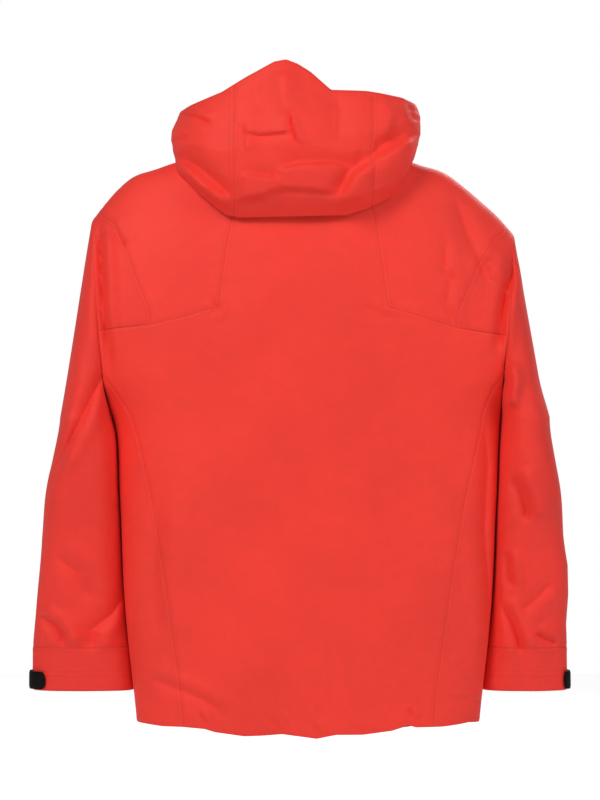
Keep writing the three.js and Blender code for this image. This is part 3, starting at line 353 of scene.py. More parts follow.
def shape_cloth(points, arm=False):
    """Moves points of the drawn surface to where the worn cloth lies. It depends on the place alone, so
    that pieces which meet stay together."""
    p = np.array(points, float)
    x, y, z = p[..., 0].copy(), p[..., 1].copy(), p[..., 2].copy()
    at_back = smooth(-12, 22, y)
    at_front = 1 - at_back
    body = 1 - smooth(262, 285, np.abs(x))
    swell = relief(x, z, BACK_FOLDS) + waves(x, z, *BACK_WAVES) * body
    front_swell = relief(x, z, FRONT_FOLDS) * smooth(26, 60, np.abs(x))
    front_swell += waves(x, z, *FRONT_WAVES) * body * smooth(30, 80, np.abs(x))
    # The cloth lies flat beside the zips of the pockets.
    front_swell *= np.maximum(smooth(12, 34, np.abs(np.abs(x) - POCKET_X)),
                              smooth(84, 114, np.abs(z - POCKET_MIDDLE)))
    if arm:
        low = smooth(-235, -290, z)
        swell += (relief(x, z, SLEEVE_FOLDS) + waves(x, z, *SLEEVE_WAVES)) * low
        front_swell += (relief(x, z, SLEEVE_FRONT_FOLDS) + waves(x, z, *SLEEVE_FRONT_WAVES)) * low
    calm = smooth(6, -20, z)
    p[..., 1] = y + calm * (swell * at_back - front_swell * at_front)
    # The trunk lies a little off the middle of the sleeves, towards -x.
    shifted = at_back + at_front * smooth(175, 235, np.abs(x))
    p[..., 0] = x - TRUNK_SHIFT * smooth(-290, -370, z) * (1 - smooth(264, 308, np.abs(x))) * shifted
    if arm:
        for side, sway in SLEEVE_SWAY.items():
            out = np.interp(-z, -sway[:, 0], sway[:, 1]) * smooth(-280, -340, z)
            p[..., 0] += side * out * smooth(270, 330, side * x)
    # One shoulder hangs lower than the other, and each sags beside the hood.
    slope = np.sign(x) * smooth(150, 255, np.abs(x)) * smooth(-300, -110, z)
    sag = sum(drop * np.exp(-((x - middle) / wide) ** 2) * smooth(low, high, z)
              for middle, drop, wide, low, high in SHOULDER_SAGS)
    p[..., 2] = z + SHOULDER_SLOPE * slope - sag
    if not arm:
        # The hem rises towards the sides and has small gathers.
        hem = np.interp(x, HEM_LINE[:, 0], HEM_LINE[:, 1]) - HEM_Z
        hem_front = HEM_FRONT_RISE * smooth(120, 225, np.abs(x))
        p[..., 2] += (hem * at_back + hem_front * at_front) * smooth(-640, -768, z)
    return p


def shape_arm(points):
    return shape_cloth(points, arm=True)


# ---------------------------------------------------------------- meshes

scene = bpy.context.scene
SMALL = 1e-9


def unit(vectors):
    return vectors / np.maximum(np.linalg.norm(vectors, axis=-1, keepdims=True), SMALL)


def weld(keys, tolerance=0.02):
    """Index of the first point that lies at each point's place."""
    rounded = np.round(keys / tolerance).astype(np.int64)
    _, first, inverse = np.unique(rounded, axis=0, return_index=True, return_inverse=True)
    return first, inverse.reshape(-1)


def grid_faces(rows, columns, offset=0):
    a = offset + (np.arange(rows - 1)[:, None] * columns + np.arange(columns - 1)[None]).reshape(-1)
    return np.stack([a, a + 1, a + 1 + columns, a + columns], -1)


def point_normals(points, faces):
    a, b, c, d = (points[faces[:, k]] for k in range(4))
    face = np.cross(c - a, d - b)
    total = np.zeros_like(points)
    for k in range(4):
        np.add.at(total, faces[:, k], face)
    return unit(total)


def join_grids(grids, uvs):
    """One welded skin of several grids of points: points, faces, uv of each point."""
    points, texture, faces, offset = [], [], [], 0
    for grid, uv in zip(grids, uvs):
        rows, columns = grid.shape[:2]
        points.append(grid.reshape(-1, 3))
        texture.append(uv.reshape(-1, uv.shape[-1]))
        faces.append(grid_faces(rows, columns, offset))
        offset += rows * columns
    points, texture, faces = np.concatenate(points), np.concatenate(texture), np.concatenate(faces)
    first, index = weld(points)
    faces = index[faces]
    points, texture = points[first], texture[first]
    whole = np.all(faces != np.roll(faces, -1, axis=1), axis=1)
    return points, faces[whole], texture


def border_edges(faces):
    edges = np.concatenate([faces[:, [k, (k + 1) % 4]] for k in range(4)])
    count = int(faces.max()) + 1
    code = edges[:, 0] * count + edges[:, 1]
    back = edges[:, 1] * count + edges[:, 0]
    return edges[~np.isin(code, back)]


def border_runs(points, edges):
    """Length run along the border, for each border point."""
    after = dict(map(tuple, edges))
    run = {}
    while after:
        start = next(iter(after))
        at, length = start, 0.0
        while at in after:
            run[at] = length
            step = after.pop(at)
            length += float(np.linalg.norm(points[step] - points[at]))
            at = step
    return run


def seam_distance(points, faces, plain_edge):
    """Distance of each point from the border of its panel, and the run along the border there.
    plain_edge tells of a border point that it isn't on a seam."""
    edges = border_edges(faces)
    run = border_runs(points, edges)
    border = np.array([k for k in sorted(run) if not (plain_edge and plain_edge(points[k]))])
    tree = kdtree.KDTree(len(border))
    for k, index in enumerate(border):
        tree.insert(Vector(points[index]), k)
    tree.balance()
    gap = np.zeros(len(points))
    runs = np.zeros(len(points))
    for k, point in enumerate(points):
        _, nearest, distance = tree.find(Vector(point))
        gap[k] = distance
        runs[k] = run[int(border[nearest])]
    return gap, runs


def new_mesh(name, points, faces, uv=None, numbers=None):
    mesh = bpy.data.meshes.new(name)
    mesh.from_pydata(to_frame(points).tolist(), [], [list(map(int, face)) for face in faces])
    if uv is not None:
        layer = mesh.uv_layers.new(name="UVMap")
        corner = np.zeros(len(mesh.loops), np.int32)
        mesh.loops.foreach_get("vertex_index", corner)
        layer.data.foreach_set("uv", (uv[corner] / 1000).astype(np.float32).ravel())
    for key, values in (numbers or {}).items():
        attribute = mesh.attributes.new(key, "FLOAT", "POINT")
        attribute.data.foreach_set("value", np.asarray(values, np.float32))
    mesh.update()
    made = bpy.data.objects.new(name, mesh)
    scene.collection.objects.link(made)
    return made


def finish_piece(made, material, inside=None, sharp=50):
    made.data.materials.append(material)
    if inside is not None:
        made.data.materials.append(inside)
    made.data.shade_smooth()
    made.data.set_sharp_from_angle(angle=math.radians(sharp))
    return made


# A seam lies in a groove between two low lips.
GROOVE_WIDTH = 1.7
LIP_SHARE, LIP_GAP, LIP_WIDTH = 0.28, 4.6, 2.4


def cloth_piece(name, grids, uvs, material, inside, thickness=FABRIC, shape=None, groove=0.5,
                outward=None, plain_edge=None):
    """A panel of cloth: welded grids, shaped, with a groove along its border and a second face. The
    columns of uvs are u and v, then the share of the joint's turn, then the least distance from a seam."""
    points, faces, uv = join_grids(grids, uvs)
    normals = point_normals(points, faces)
    if outward is not None:
        if np.sum(normals * outward(points)) < 0:
            faces = faces[:, ::-1]
    gap, run = seam_distance(points, faces, plain_edge)
    if uv.shape[1] > 3:
        gap = np.maximum(gap, uv[:, 3])
    if shape is not None:
        points = shape(points)
    normals = point_normals(points, faces)
    dip = np.exp(-(gap / GROOVE_WIDTH) ** 2) - LIP_SHARE * np.exp(-((gap - LIP_GAP) / LIP_WIDTH) ** 2)
    points = points - normals * groove * dip[:, None]
    normals = point_normals(points, faces)
    inner = points - normals * thickness
    count = len(points)
    edges = border_edges(faces)
    walls = np.stack([edges[:, 1], edges[:, 0], edges[:, 0] + count, edges[:, 1] + count], -1)
    all_faces = np.concatenate([faces, faces[:, ::-1] + count, walls])
    uv = uv[:, :2]
    made = new_mesh(name, np.concatenate([points, inner]), all_faces, np.concatenate([uv, uv]),
                    {"seam_gap": np.r_[gap, gap], "seam_run": np.r_[run, run]})
    finish_piece(made, material, inside)
    if inside is not None:
        index = np.zeros(len(all_faces), np.int32)
        index[len(faces):2 * len(faces)] = 1
        made.data.polygons.foreach_set("material_index", index)
    return made


def settle(made, node, slot, body="body"):
    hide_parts(node)
    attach(made, body)


def settle_across(made, node):
    """Hides the CAD part and bakes the piece's transform into its mesh."""
    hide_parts(node)
    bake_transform(made)


# ---------------------------------------------------------------- materials

class Nodes:
    """A short way to write a node material."""

    def __init__(self, name, roughness, sheen=0.0, gloss=0.5):
        self.material = bpy.data.materials.new(name)
        self.material.use_nodes = True
        self.tree = self.material.node_tree
        self.shader = self.tree.nodes["Principled BSDF"]
        self.shader.inputs["Roughness"].default_value = roughness
        self.shader.inputs["Sheen Weight"].default_value = sheen
        self.shader.inputs["Specular IOR Level"].default_value = gloss

    def add(self, kind, links=None, **settings):
        node = self.tree.nodes.new(kind)
        for key, value in settings.items():
            setattr(node, key, value)
        for key, value in (links or {}).items():
            self.put(node.inputs[key], value)
        return node

    def put(self, socket, value):
        if isinstance(value, bpy.types.NodeSocket):
            self.tree.links.new(value, socket)
        else:
            socket.default_value = value

    def math(self, operation, a, b=0.0, c=0.0):
        return self.add("ShaderNodeMath", {0: a, 1: b, 2: c}, operation=operation).outputs[0]

    def noise(self, vector, scale, detail=2.0):
        node = self.add("ShaderNodeTexNoise", {"Vector": vector, "Scale": scale, "Detail": detail})
        return node.outputs["Fac"]

    def between(self, low, high, value):
        node = self.add("ShaderNodeMapRange", {"Value": value, "From Min": low, "From Max": high},
                        interpolation_type="SMOOTHSTEP")
        return node.outputs["Result"]

    def colour(self, fac, a, b):
        node = self.add("ShaderNodeMix", data_type="RGBA")
        self.put(node.inputs[0], fac)
        self.put(node.inputs[6], a)
        self.put(node.inputs[7], b)
        return node.outputs[2]

    def bump(self, height, distance, strength=1.0, under=None):
        links = {"Height": height, "Distance": distance, "Strength": strength}
        if under is not None:
            links["Normal"] = under
        return self.add("ShaderNodeBump", links).outputs["Normal"]


def shade(colour, factor):
    return tuple(min(value * factor, 1.0) for value in colour) + (1.0,)


STITCH_GAP, STITCH_PITCH = 5.0, 3.4


def woven(name, colour, roughness=0.6, sheen=0.03, pitch=0.9, grain=0.00003, stitched=True, mottle=0.06):
    """Woven cloth: a fine plain weave, slow unevenness of colour, stitching beside the seams, and painted
    shade darkening the seam groove.
    """
    n = Nodes(name, roughness, sheen, 0.25)
    uv = n.add("ShaderNodeUVMap", uv_map="UVMap").outputs["UV"]
    parts = n.add("ShaderNodeSeparateXYZ", {"Vector": uv})
    turns = 2 * math.pi * 1000 / pitch
    across = n.math("SINE", n.math("MULTIPLY", parts.outputs["X"], turns))
    down = n.math("SINE", n.math("MULTIPLY", parts.outputs["Y"], turns))
    weave = n.math("MULTIPLY", across, down)
    slow = n.noise(uv, 7.0, 3.0)
    cloudy = n.noise(uv, 60.0, 4.0)
    mix = n.math("ADD", n.math("MULTIPLY", slow, 0.7), n.math("MULTIPLY", cloudy, 0.3))
    tone = n.colour(n.between(0.3, 0.7, mix), shade(colour, 1 - mottle), shade(colour, 1 + mottle))
    fine = n.noise(uv, 900.0, 1.0)
    height = n.math("ADD", n.math("MULTIPLY", weave, 0.5), fine)
    normal = n.bump(height, grain)
    if stitched:
        gap = n.add("ShaderNodeAttribute", attribute_name="seam_gap").outputs["Fac"]
        run = n.add("ShaderNodeAttribute", attribute_name="seam_run").outputs["Fac"]
        off_line = n.math("ABSOLUTE", n.math("SUBTRACT", gap, STITCH_GAP))
        beside = n.math("SUBTRACT", 1.0, n.between(0.35, 0.75, off_line))
        dash = n.between(0.18, 0.26, n.math("FRACT", n.math("DIVIDE", run, STITCH_PITCH)))
        stitch = n.math("MULTIPLY", beside, dash)
        # Painted shade: the colour darkens in the seam groove, where shade falls.
        painted_seam_shade = n.math("SUBTRACT", 1.0, n.between(0.2, 2.2, gap))
        tone = n.colour(n.math("MULTIPLY", painted_seam_shade, 0.2), tone, shade(colour, 0.5))
        tone = n.colour(n.math("MULTIPLY", stitch, 0.14), tone, shade(colour, 0.6))
        normal = n.bump(stitch, 0.0002, 0.6, normal)
    n.put(n.shader.inputs["Base Color"], tone)
    n.put(n.shader.inputs["Roughness"], n.math("ADD", roughness - 0.06, n.math("MULTIPLY", cloudy, 0.12)))
    n.put(n.shader.inputs["Normal"], normal)
    return n.material


GRAIN_SCALE, GRAIN_HEIGHT = 420.0, 0.00004


def moulded(name, colour, roughness, gloss=0.3):
    """Moulded plastic or rubber with a fine grain."""
    n = Nodes(name, roughness, gloss=gloss)
    place = n.add("ShaderNodeTexCoord").outputs["Object"]
    fine = n.noise(place, GRAIN_SCALE, 3.0)
    slow = n.noise(place, 30.0, 2.0)
    n.put(n.shader.inputs["Base Color"],
          n.colour(n.between(0.3, 0.7, slow), shade(colour, 0.85), shade(colour, 1.2)))
    n.put(n.shader.inputs["Roughness"], n.math("ADD", roughness - 0.08, n.math("MULTIPLY", fine, 0.16)))
    n.put(n.shader.inputs["Normal"], n.bump(fine, GRAIN_HEIGHT))
    return n.material


RED = (0.89, 0.043, 0.028)
shell = woven("shell fabric", RED)
sleeve_cloth = woven("sleeve fabric", (0.86, 0.040, 0.027))
trim = woven("trim fabric", (0.83, 0.038, 0.026))
inside = woven("inside of the shell", (0.26, 0.035, 0.03), 0.8, 0.2, 1.1, stitched=False)
lining = woven("brushed lining", (0.040, 0.036, 0.038), 0.9, 0.35, 1.4, 0.00008)
webbing = woven("black tape", (0.012, 0.011, 0.011), 0.75, 0.15, 1.6, 0.00012, stitched=False,
                mottle=0.2)
tab_rubber = moulded("tab rubber", (0.0042, 0.0036, 0.0036), 0.55, 0.1)
zip_plastic = moulded("zip plastic", (0.013, 0.012, 0.012), 0.38)
lock_plastic = moulded("lock plastic", (0.014, 0.013, 0.013), 0.42)
loop_fleece = woven("loop fleece", (0.014, 0.013, 0.013), 0.95, 0.4, 2.0, 0.0004, stitched=False,
                    mottle=0.4)

# ---------------------------------------------------------------- body panels

STEP = 3.0
OUT_FROM_MIDDLE = np.array([1, 1, 0.0])
ARC_ANGLES = np.linspace(0, math.pi, 181)
ARC_POINTS = ring_point(BODY_RINGS[ARMPIT_RING][None], ARC_ANGLES)
ARC_RUN = np.r_[0, np.cumsum(np.linalg.norm(np.diff(ARC_POINTS, axis=0), axis=1))]


def body_outward(points):
    return points * OUT_FROM_MIDDLE


def body_inward(points):
    return -body_outward(points)


def body_grid(places):
    """Points of the drawn body, and their places on the cloth."""
    points = body_point(places)
    run = np.sign(places[..., 0]) * np.interp(np.abs(places[..., 0]), ARC_ANGLES, ARC_RUN)
    return points, vectors(run, points[..., 2])


def flip_places(places):
    return (places * np.array([-1, 1]))[:, ::-1]


def panel_line(share, front):
    z = HEM_Z + (YOKE_CORNER[1] - HEM_Z) * share
    x = PANEL_FOOT + (YOKE_CORNER[0] - PANEL_FOOT) * share
    return place_at(x, z, front)


SIDE_LINE = SIDE_SEAM + [(armhole_x(SIDE_SEAM_TOP), SIDE_SEAM_TOP)]
ARMHOLE_SHARE = 0.87


def panel_outer_edge(share, front):
    low = along(SIDE_LINE, share / ARMHOLE_SHARE)
    z = SIDE_SEAM_TOP + (SLEEVE_SEAM_FOOT - SIDE_SEAM_TOP) * (share - ARMHOLE_SHARE) / (1 - ARMHOLE_SHARE)
    z = np.where(share <= ARMHOLE_SHARE, low[..., 1], z)
    x = np.where(share <= ARMHOLE_SHARE, np.minimum(low[..., 0], armhole_x(low[..., 1])), armhole_x(z))
    return place_at(x, z, front)


YOKE_LINE = YOKE_SEAM + [(armhole_x(SLEEVE_SEAM_FOOT), SLEEVE_SEAM_FOOT)]


def yoke_line(share, front):
    point = along(YOKE_LINE, share)
    return place_at(point[..., 0], point[..., 1], front)


def straight(start, end, share):
    return start + (end - start) * share[:, None]


# rough lengths of the patches of half a panel, for the number of rows and columns
INNER_WIDTH, OUTER_WIDTH, LOW_HEIGHT, HIGH_HEIGHT = 100, 110, 576, 214


def half_panel(inner, front):
    """Three patches of one half of the back or of one front."""
    yoke = float(position_of_height(BODY_RINGS, YOKE_CORNER[1]))
    u_in = spaced(INNER_WIDTH, STEP, inner > 0, True)
    u_out = spaced(OUTER_WIDTH, STEP, False, True)
    low = spaced(LOW_HEIGHT, STEP)
    high = spaced(HIGH_HEIGHT, STEP, False, True)

    def inner_edge(v, start, end):
        return place_on_ring(np.full(v.shape, float(inner)), start + (end - start) * v, front)

    hem_in, hem_mid = inner_edge(np.zeros(1), 0, yoke)[0], panel_line(0, front)
    hem_out = panel_outer_edge(np.zeros(1), front)[0]
    mid = panel_line(low, front)
    corner = panel_line(1.0, front)
    top_in = inner_edge(np.ones(1), 0, yoke)[0]
    seam_x = along(PANEL_SEAM, high)[:, 0]
    seam = place_on_ring(seam_x, yoke + (NECK_RING - yoke) * high, front)
    seam[0] = corner
    first = patch(straight(hem_in, hem_mid, u_in), straight(top_in, corner, u_in),
                  inner_edge(low, 0, yoke), mid, u_in, low)
    across = yoke_line(u_out, front)
    across[0] = corner
    outer = panel_outer_edge(low, front)
    outer[-1] = across[-1]
    second = patch(straight(hem_mid, hem_out, u_out), across, mid, outer, u_out, low)
    neck_in = inner_edge(np.ones(1), yoke, NECK_RING)[0]
    third = patch(straight(top_in, corner, u_in), straight(neck_in, seam[-1], u_in),
                  inner_edge(high, yoke, NECK_RING), seam, u_in, high)
    return [first, second, third]


def body_cloth(node, patches, cloth=None, slot="shell_fabric"):
    """One panel of the body from its patches of places."""
    pairs = [body_grid(places) for places in patches]
    made = cloth_piece(f"{node}_cloth", [pair[0] for pair in pairs], [pair[1] for pair in pairs],
                       cloth or shell, inside, shape=shape_cloth, outward=body_outward)
    settle(made, node, slot)


def both_sides(patches):
    """The patches of the left side, then of the right side."""
    return ("left", patches), ("right", [flip_places(places) for places in patches])


def make_back():
    (_, left), (_, right) = both_sides(half_panel(0.0, False))
    body_cloth("back_panel", left + right)


def make_fronts():
    for side, half in both_sides(half_panel(ZIP_HALF_WIDTH, True)):
        body_cloth(f"front_panel_{side}", half)


def ridge_position(half_width):
    low, high = float(SHOULDER_RING), float(NECK_RING)
    for _ in range(40):
        middle = (low + high) / 2
        if ring_at(BODY_RINGS, middle)[1] > half_width:
            low = middle
        else:
            high = middle
    return (low + high) / 2


RIDGE_SHARE = 0.78
NECK_SHARE = 0.4


def sleeve_seam(share):
    front = share > 0.5
    climb = np.where(front, 2 - 2 * share, 2 * share)
    foot = along(SLEEVE_SEAM, np.minimum(climb / RIDGE_SHARE, 1))
    back_place, front_place = (place_at(foot[:, 0], foot[:, 1], at_front) for at_front in (False, True))
    place = np.where(front[:, None], front_place, back_place)
    rest = np.clip((climb - RIDGE_SHARE) / (1 - RIDGE_SHARE), 0, 1)[:, None]
    return place + (np.array([math.pi / 2, ridge_position(SLEEVE_SEAM_RIDGE)]) - place) * rest


def yoke_inner_edge(share):
    front = share > 0.5
    climb = np.minimum(np.where(front, 1 - share, share), NECK_SHARE) / NECK_SHARE
    yoke = float(position_of_height(BODY_RINGS, YOKE_CORNER[1]))
    x = along(PANEL_SEAM, climb)[:, 0]
    position = yoke + (NECK_RING - yoke) * climb
    back_place, front_place = (place_on_ring(x, position, at_front) for at_front in (False, True))
    place = np.where(front[:, None], front_place, back_place)
    start = place_on_ring(np.array([PANEL_SEAM[-1][0]], float), float(NECK_RING), False)[0]
    turn = (share - NECK_SHARE) / (1 - 2 * NECK_SHARE)
    on_neck = (share > NECK_SHARE) & (share < 1 - NECK_SHARE)
    neck = vectors(start[0] + (math.pi - 2 * start[0]) * turn, float(NECK_RING))
    return np.where(on_neck[:, None], neck, place)


def armhole_upper_edge(share):
    front = share > 0.5
    climb = np.where(front, 2 - 2 * share, 2 * share)
    z = SLEEVE_SEAM_FOOT + (SHOULDER_Z - SLEEVE_SEAM_FOOT) * np.sin(climb * math.pi / 2)
    back_place, front_place = (armhole_place(z, at_front) for at_front in (False, True))
    place = np.where(front[:, None], front_place, back_place)
    place[climb > 0.999] = (math.pi / 2, SHOULDER_RING + 0.01)
    return place


def make_shoulders():
    around = spaced(560, STEP)
    inward = spaced(130, STEP)
    start, end = yoke_inner_edge(around), sleeve_seam(around)
    edges = []
    for k, front in ((0, False), (-1, True)):
        point = along(YOKE_SEAM, inward)
        places = place_at(point[:, 0], point[:, 1], front)
        start[k], end[k] = places[0], places[-1]
        edges.append(places)
    yoke = patch(start, end, edges[0], edges[1], around, inward)
    head_in = spaced(60, STEP)
    seam, hole = sleeve_seam(around), armhole_upper_edge(around)
    feet = []
    for k, front in ((0, False), (-1, True)):
        corner = place_at(*np.array(SLEEVE_SEAM[0], float), front)
        foot = straight(corner, yoke_line(np.ones(1), front)[0], head_in)
        seam[k], hole[k] = foot[0], foot[-1]
        feet.append(foot)
    head = patch(seam, hole, feet[0], feet[1], around, head_in)
    for side, (side_yoke, side_head) in both_sides([yoke, head]):
        body_cloth(f"shoulder_yoke_{side}", [side_yoke])
        body_cloth(f"sleeve_head_{side}", [side_head], sleeve_cloth, "shell_sleeve")


ARMHOLE_MIDDLE = (ARMPIT_Z + SHOULDER_Z) / 2
ARMHOLE_RADIUS = (SHOULDER_Z - ARMPIT_Z) / 2
ARMHOLE_OUT = 290.0  # a place inside the sleeve head
AT_END = 1e-6


def make_sides():
    around = spaced(190, STEP)
    up = spaced(480, STEP)
    start = math.acos((SIDE_SEAM_TOP - ARMHOLE_MIDDLE) / ARMHOLE_RADIUS)
    turn = start + (2 * math.pi - 2 * start) * around
    z = ARMHOLE_MIDDLE + ARMHOLE_RADIUS * np.cos(turn)
    hole = np.where((turn > math.pi)[:, None], armhole_place(z, True), armhole_place(z, False))
    hole[np.abs(turn - math.pi) < AT_END] = (math.pi / 2, ARMPIT_RING - 0.01)
    edges = []
    for front in (False, True):
        point = along(SIDE_LINE, up)
        edges.append(place_at(np.minimum(point[:, 0], armhole_x(point[:, 1])), point[:, 1], front))
    hole[0], hole[-1] = edges[0][-1], edges[1][-1]
    foot = vectors(edges[0][0][0] + (edges[1][0][0] - edges[0][0][0]) * around, 0.0)
    places = patch(foot, hole, edges[0], edges[1], around, up)
    for side, patches in both_sides([places]):
        body_cloth(f"side_panel_{side}", patches)


# ---------------------------------------------------------------- sleeves

def armhole_ring(turn):
    z = ARMHOLE_MIDDLE + ARMHOLE_RADIUS * np.cos(turn)
    x = armhole_x(z)
    ring = ring_at(BODY_RINGS, position_of_height(BODY_RINGS, z))
    share = np.minimum(x / ring[..., 1], 1)
    depth = np.where(np.sin(turn) >= 0, ring[..., 2], -FRONT_DEPTH)
    y = depth * (1 - share ** SQUARENESS) ** (1 / SQUARENESS)
    return vectors(x, np.where(np.abs(np.sin(turn)) < AT_END, 0, y), z)


def sleeve_ring(z):
    ring = ring_at(SLEEVE_RINGS, position_of_height(SLEEVE_RINGS, z))
    body = ring_at(BODY_RINGS, position_of_height(BODY_RINGS, z))[..., 1]
    return body + BODY_GAP + ring[..., 1], ring


TUCK, FRONT_TUCK = 3.0, 9.0


def sleeve_point(turn, z, grow=0.0):
    middle, ring = sleeve_ring(z)
    share = round_share(turn, SLEEVE_SQUARENESS)
    y = ring[..., 3] + (ring[..., 2] + grow) * share * np.sin(turn)
    # Its inner side lies in against the body, most of all at the front.
    inner_side = smooth(0.15, -0.55, np.cos(turn)) * smooth(-300, -335, z)
    tuck = (FRONT_TUCK * smooth(-8, -34, y) + TUCK) * inner_side
    return vectors(middle + (ring[..., 1] + grow) * share * np.cos(turn) - tuck, y, z)


def sleeve_outward(turn_side):
    def outward(points):
        z = np.minimum(points[:, 2], SLEEVE_RINGS[0, 0])
        middle, ring = sleeve_ring(z)
        x = np.where(points[:, 2] > SLEEVE_RINGS[0, 0], ARMHOLE_OUT, middle) * turn_side
        return vectors(points[:, 0] - x, points[:, 1] - ring[..., 3], 0.0)
    return outward


def other_side(points, flip):
    return points * np.array([flip, 1, 1]) if flip < 0 else points


UNROLLED = 60.0
SLEEVE_RADIUS = 62.0  # mean radius, for the length of the weave round the sleeve
CUFF_WEAVE = 4.0
CUFF_HEM = 24.0
CUFF_OUT, CUFF_IN = 0.4, 3.2  # how far the cuff and its hem lie outside and inside the sleeve's surface
ELBOW_LENGTH = 84.0  # the length of cloth that bends at the elbow
SLEEVE_COLUMNS, CAP_LENGTH, UPPER_ROWS, LOWER_ROWS = 193, 235, 48, 92


def make_sleeves():
    turns = np.linspace(0, 2 * math.pi, SLEEVE_COLUMNS)
    cap = np.unique(np.r_[spaced(CAP_LENGTH, STEP, True, False), 1.0])
    low = np.linspace(0, 1, UPPER_ROWS)[1:]
    t_cap, t_low = cap[:, None], low[:, None]
    start = armhole_ring(turns)[None]
    end = sleeve_point(turns, SLEEVE_RINGS[0, 0])[None]
    upper = start + (end - start) * t_cap[..., None]
    z = SLEEVE_RINGS[0, 0] + (ELBOW_Z - SLEEVE_RINGS[0, 0]) * t_low
    lower = sleeve_point(turns[None], z)
    grid = np.concatenate([upper, lower])
    # Share of the arm's turn for each point, which rises at once over the shoulder and later towards the
    # armpit.
    under = (1 - np.cos(turns)) / 2
    run = np.r_[cap, 1 + low][:, None]
    weight = smooth(0, 1, run / (0.2 + 1.3 * under))
    # The cloth under the armpit unrolls as the arm is raised, so its stitches stay at the armhole.
    uv = vectors(turns * SLEEVE_RADIUS, grid[..., 2], weight, np.minimum(run, 1) * UNROLLED)
    near_cuff = CUFF_TOP_Z + np.array(NEAR_SEAM)[::-1]
    fore_z = np.r_[np.linspace(ELBOW_Z, near_cuff[0], LOWER_ROWS), near_cuff[1:]]
    fore = sleeve_point(turns[None], fore_z[:, None])
    bend = smooth(ELBOW_Z, ELBOW_Z - ELBOW_LENGTH, fore_z)[:, None]
    fore_uv = vectors(turns * SLEEVE_RADIUS, fore[..., 2], bend)
    for side, flip in SIDES:
        sleeve_cloth_piece(f"upper_sleeve_{side}", flip, grid, uv)
        sleeve_cloth_piece(f"lower_sleeve_{side}", flip, fore, fore_uv)
        make_cuff(side, flip, turns)


def at_elbow(point):
    """The two sleeves run into each other at the elbow, where there is no seam."""
    return abs(point[2] - ELBOW_Z) < 1


def sleeve_cloth_piece(node, flip, grid, uv):
    made = cloth_piece(f"{node}_cloth", [other_side(grid, flip)], [uv], sleeve_cloth, inside,
                       shape=shape_arm, outward=sleeve_outward(flip), groove=0.4, plain_edge=at_elbow)
    settle_across(made, node)


def make_cuff(side, flip, turns):
    # The cuff turns under at its end and runs back up inside.
    down = np.r_[CUFF_TOP_Z - np.array(NEAR_SEAM), np.linspace(CUFF_TOP_Z - 8.5, CUFF_END_Z + 3, 20)]
    back_up = np.linspace(4, CUFF_HEM, 6)
    z = np.r_[down, CUFF_END_Z + np.r_[1, 0, 1, back_up]]
    grow = np.r_[np.full(len(down), CUFF_OUT), 0, -1.3, -2.6, np.full(len(back_up), -CUFF_IN)]
    grid = other_side(sleeve_point(turns[None], z[:, None], grow[:, None]), flip)
    uv = vectors(turns * SLEEVE_RADIUS, -np.arange(len(z))[:, None] * CUFF_WEAVE)
    made = cloth_piece(f"cuff_{side}_cloth", [grid], [uv], trim, inside, shape=shape_arm, thickness=0.5,
                       outward=sleeve_outward(flip), groove=0.5)
    settle(made, f"cuff_{side}", "shell_trim", f"forearm_{side}")


def strip(name, at, columns, rows, material, inner_at, uv_scale, sharp=50):
    """A closed strip between two skins, each a function of arrays u and v."""
    u, v = np.meshgrid(np.asarray(columns, float), np.asarray(rows, float))
    outer, inner = at(u, v), inner_at(u, v)
    faces = grid_faces(*u.shape)
    normals = point_normals(outer.reshape(-1, 3), faces)
    if np.sum(normals * (outer - inner).reshape(-1, 3)) < 0:
        faces = faces[:, ::-1]
    count = u.size
    edges = border_edges(faces)
    walls = np.stack([edges[:, 1], edges[:, 0], edges[:, 0] + count, edges[:, 1] + count], -1)
    all_faces = np.concatenate([faces, faces[:, ::-1] + count, walls])
    uv = vectors(u.reshape(-1) * uv_scale[0], v.reshape(-1) * uv_scale[1])
    points = np.concatenate([outer.reshape(-1, 3), inner.reshape(-1, 3)])
    made = new_mesh(name, points, all_faces, np.concatenate([uv, uv]),
                    {"seam_gap": np.full(2 * count, 20.0), "seam_run": np.zeros(2 * count)})
    return finish_piece(made, material, sharp=sharp)


TAB_WIDTH, TAB_THICKNESS, TAB_RISE = 24.0, 2.2, 2.0
TAB_FROM, TAB_FOLD = -112.0, -8.0
TAB_END = {"left": 50.0, "right": 32.0}
PATCH_FROM, PATCH_TO, PATCH_THICKNESS, PATCH_MARGIN = -116.0, 26.0, 0.8, 2.0
PATCH_SEAT = 0.8
TAB_SEAT = 2 * PATCH_SEAT + PATCH_THICKNESS
TAB_END_WIDTH = 0.35  # share of the width left at the rounded end
TAB_CROWN = 0.6
TAB_ENDS_APART = 0.3  # degrees
TAB_HINGE_GAP = 1.0


def follow_arm(points):
    """Moved sideways with the shaped sleeve, without its folds."""
    moved = shape_arm(points)
    return np.concatenate([moved[..., :1], points[..., 1:]], -1)


def on_cuff(start, end, rounded_end, low, high, stand_off, flip):
    """Points of a strip round the cuff whose end can be rounded."""
    def at(u, v):
        turn = np.radians(start + (end - start) * u)
        near_end = np.clip((u - (1 - rounded_end)) / max(rounded_end, SMALL), 0, 1)
        narrow = np.maximum((1 - near_end ** 3.2) ** 0.45, TAB_END_WIDTH)
        z = (low + high) / 2 + (v - 0.5) * (high - low) * narrow
        crown = TAB_CROWN * smooth(0, 0.16, np.minimum(v, 1 - v)) if stand_off > TAB_SEAT else 0.0
        return follow_arm(other_side(sleeve_point(turn, z, stand_off + crown), flip))
    return at


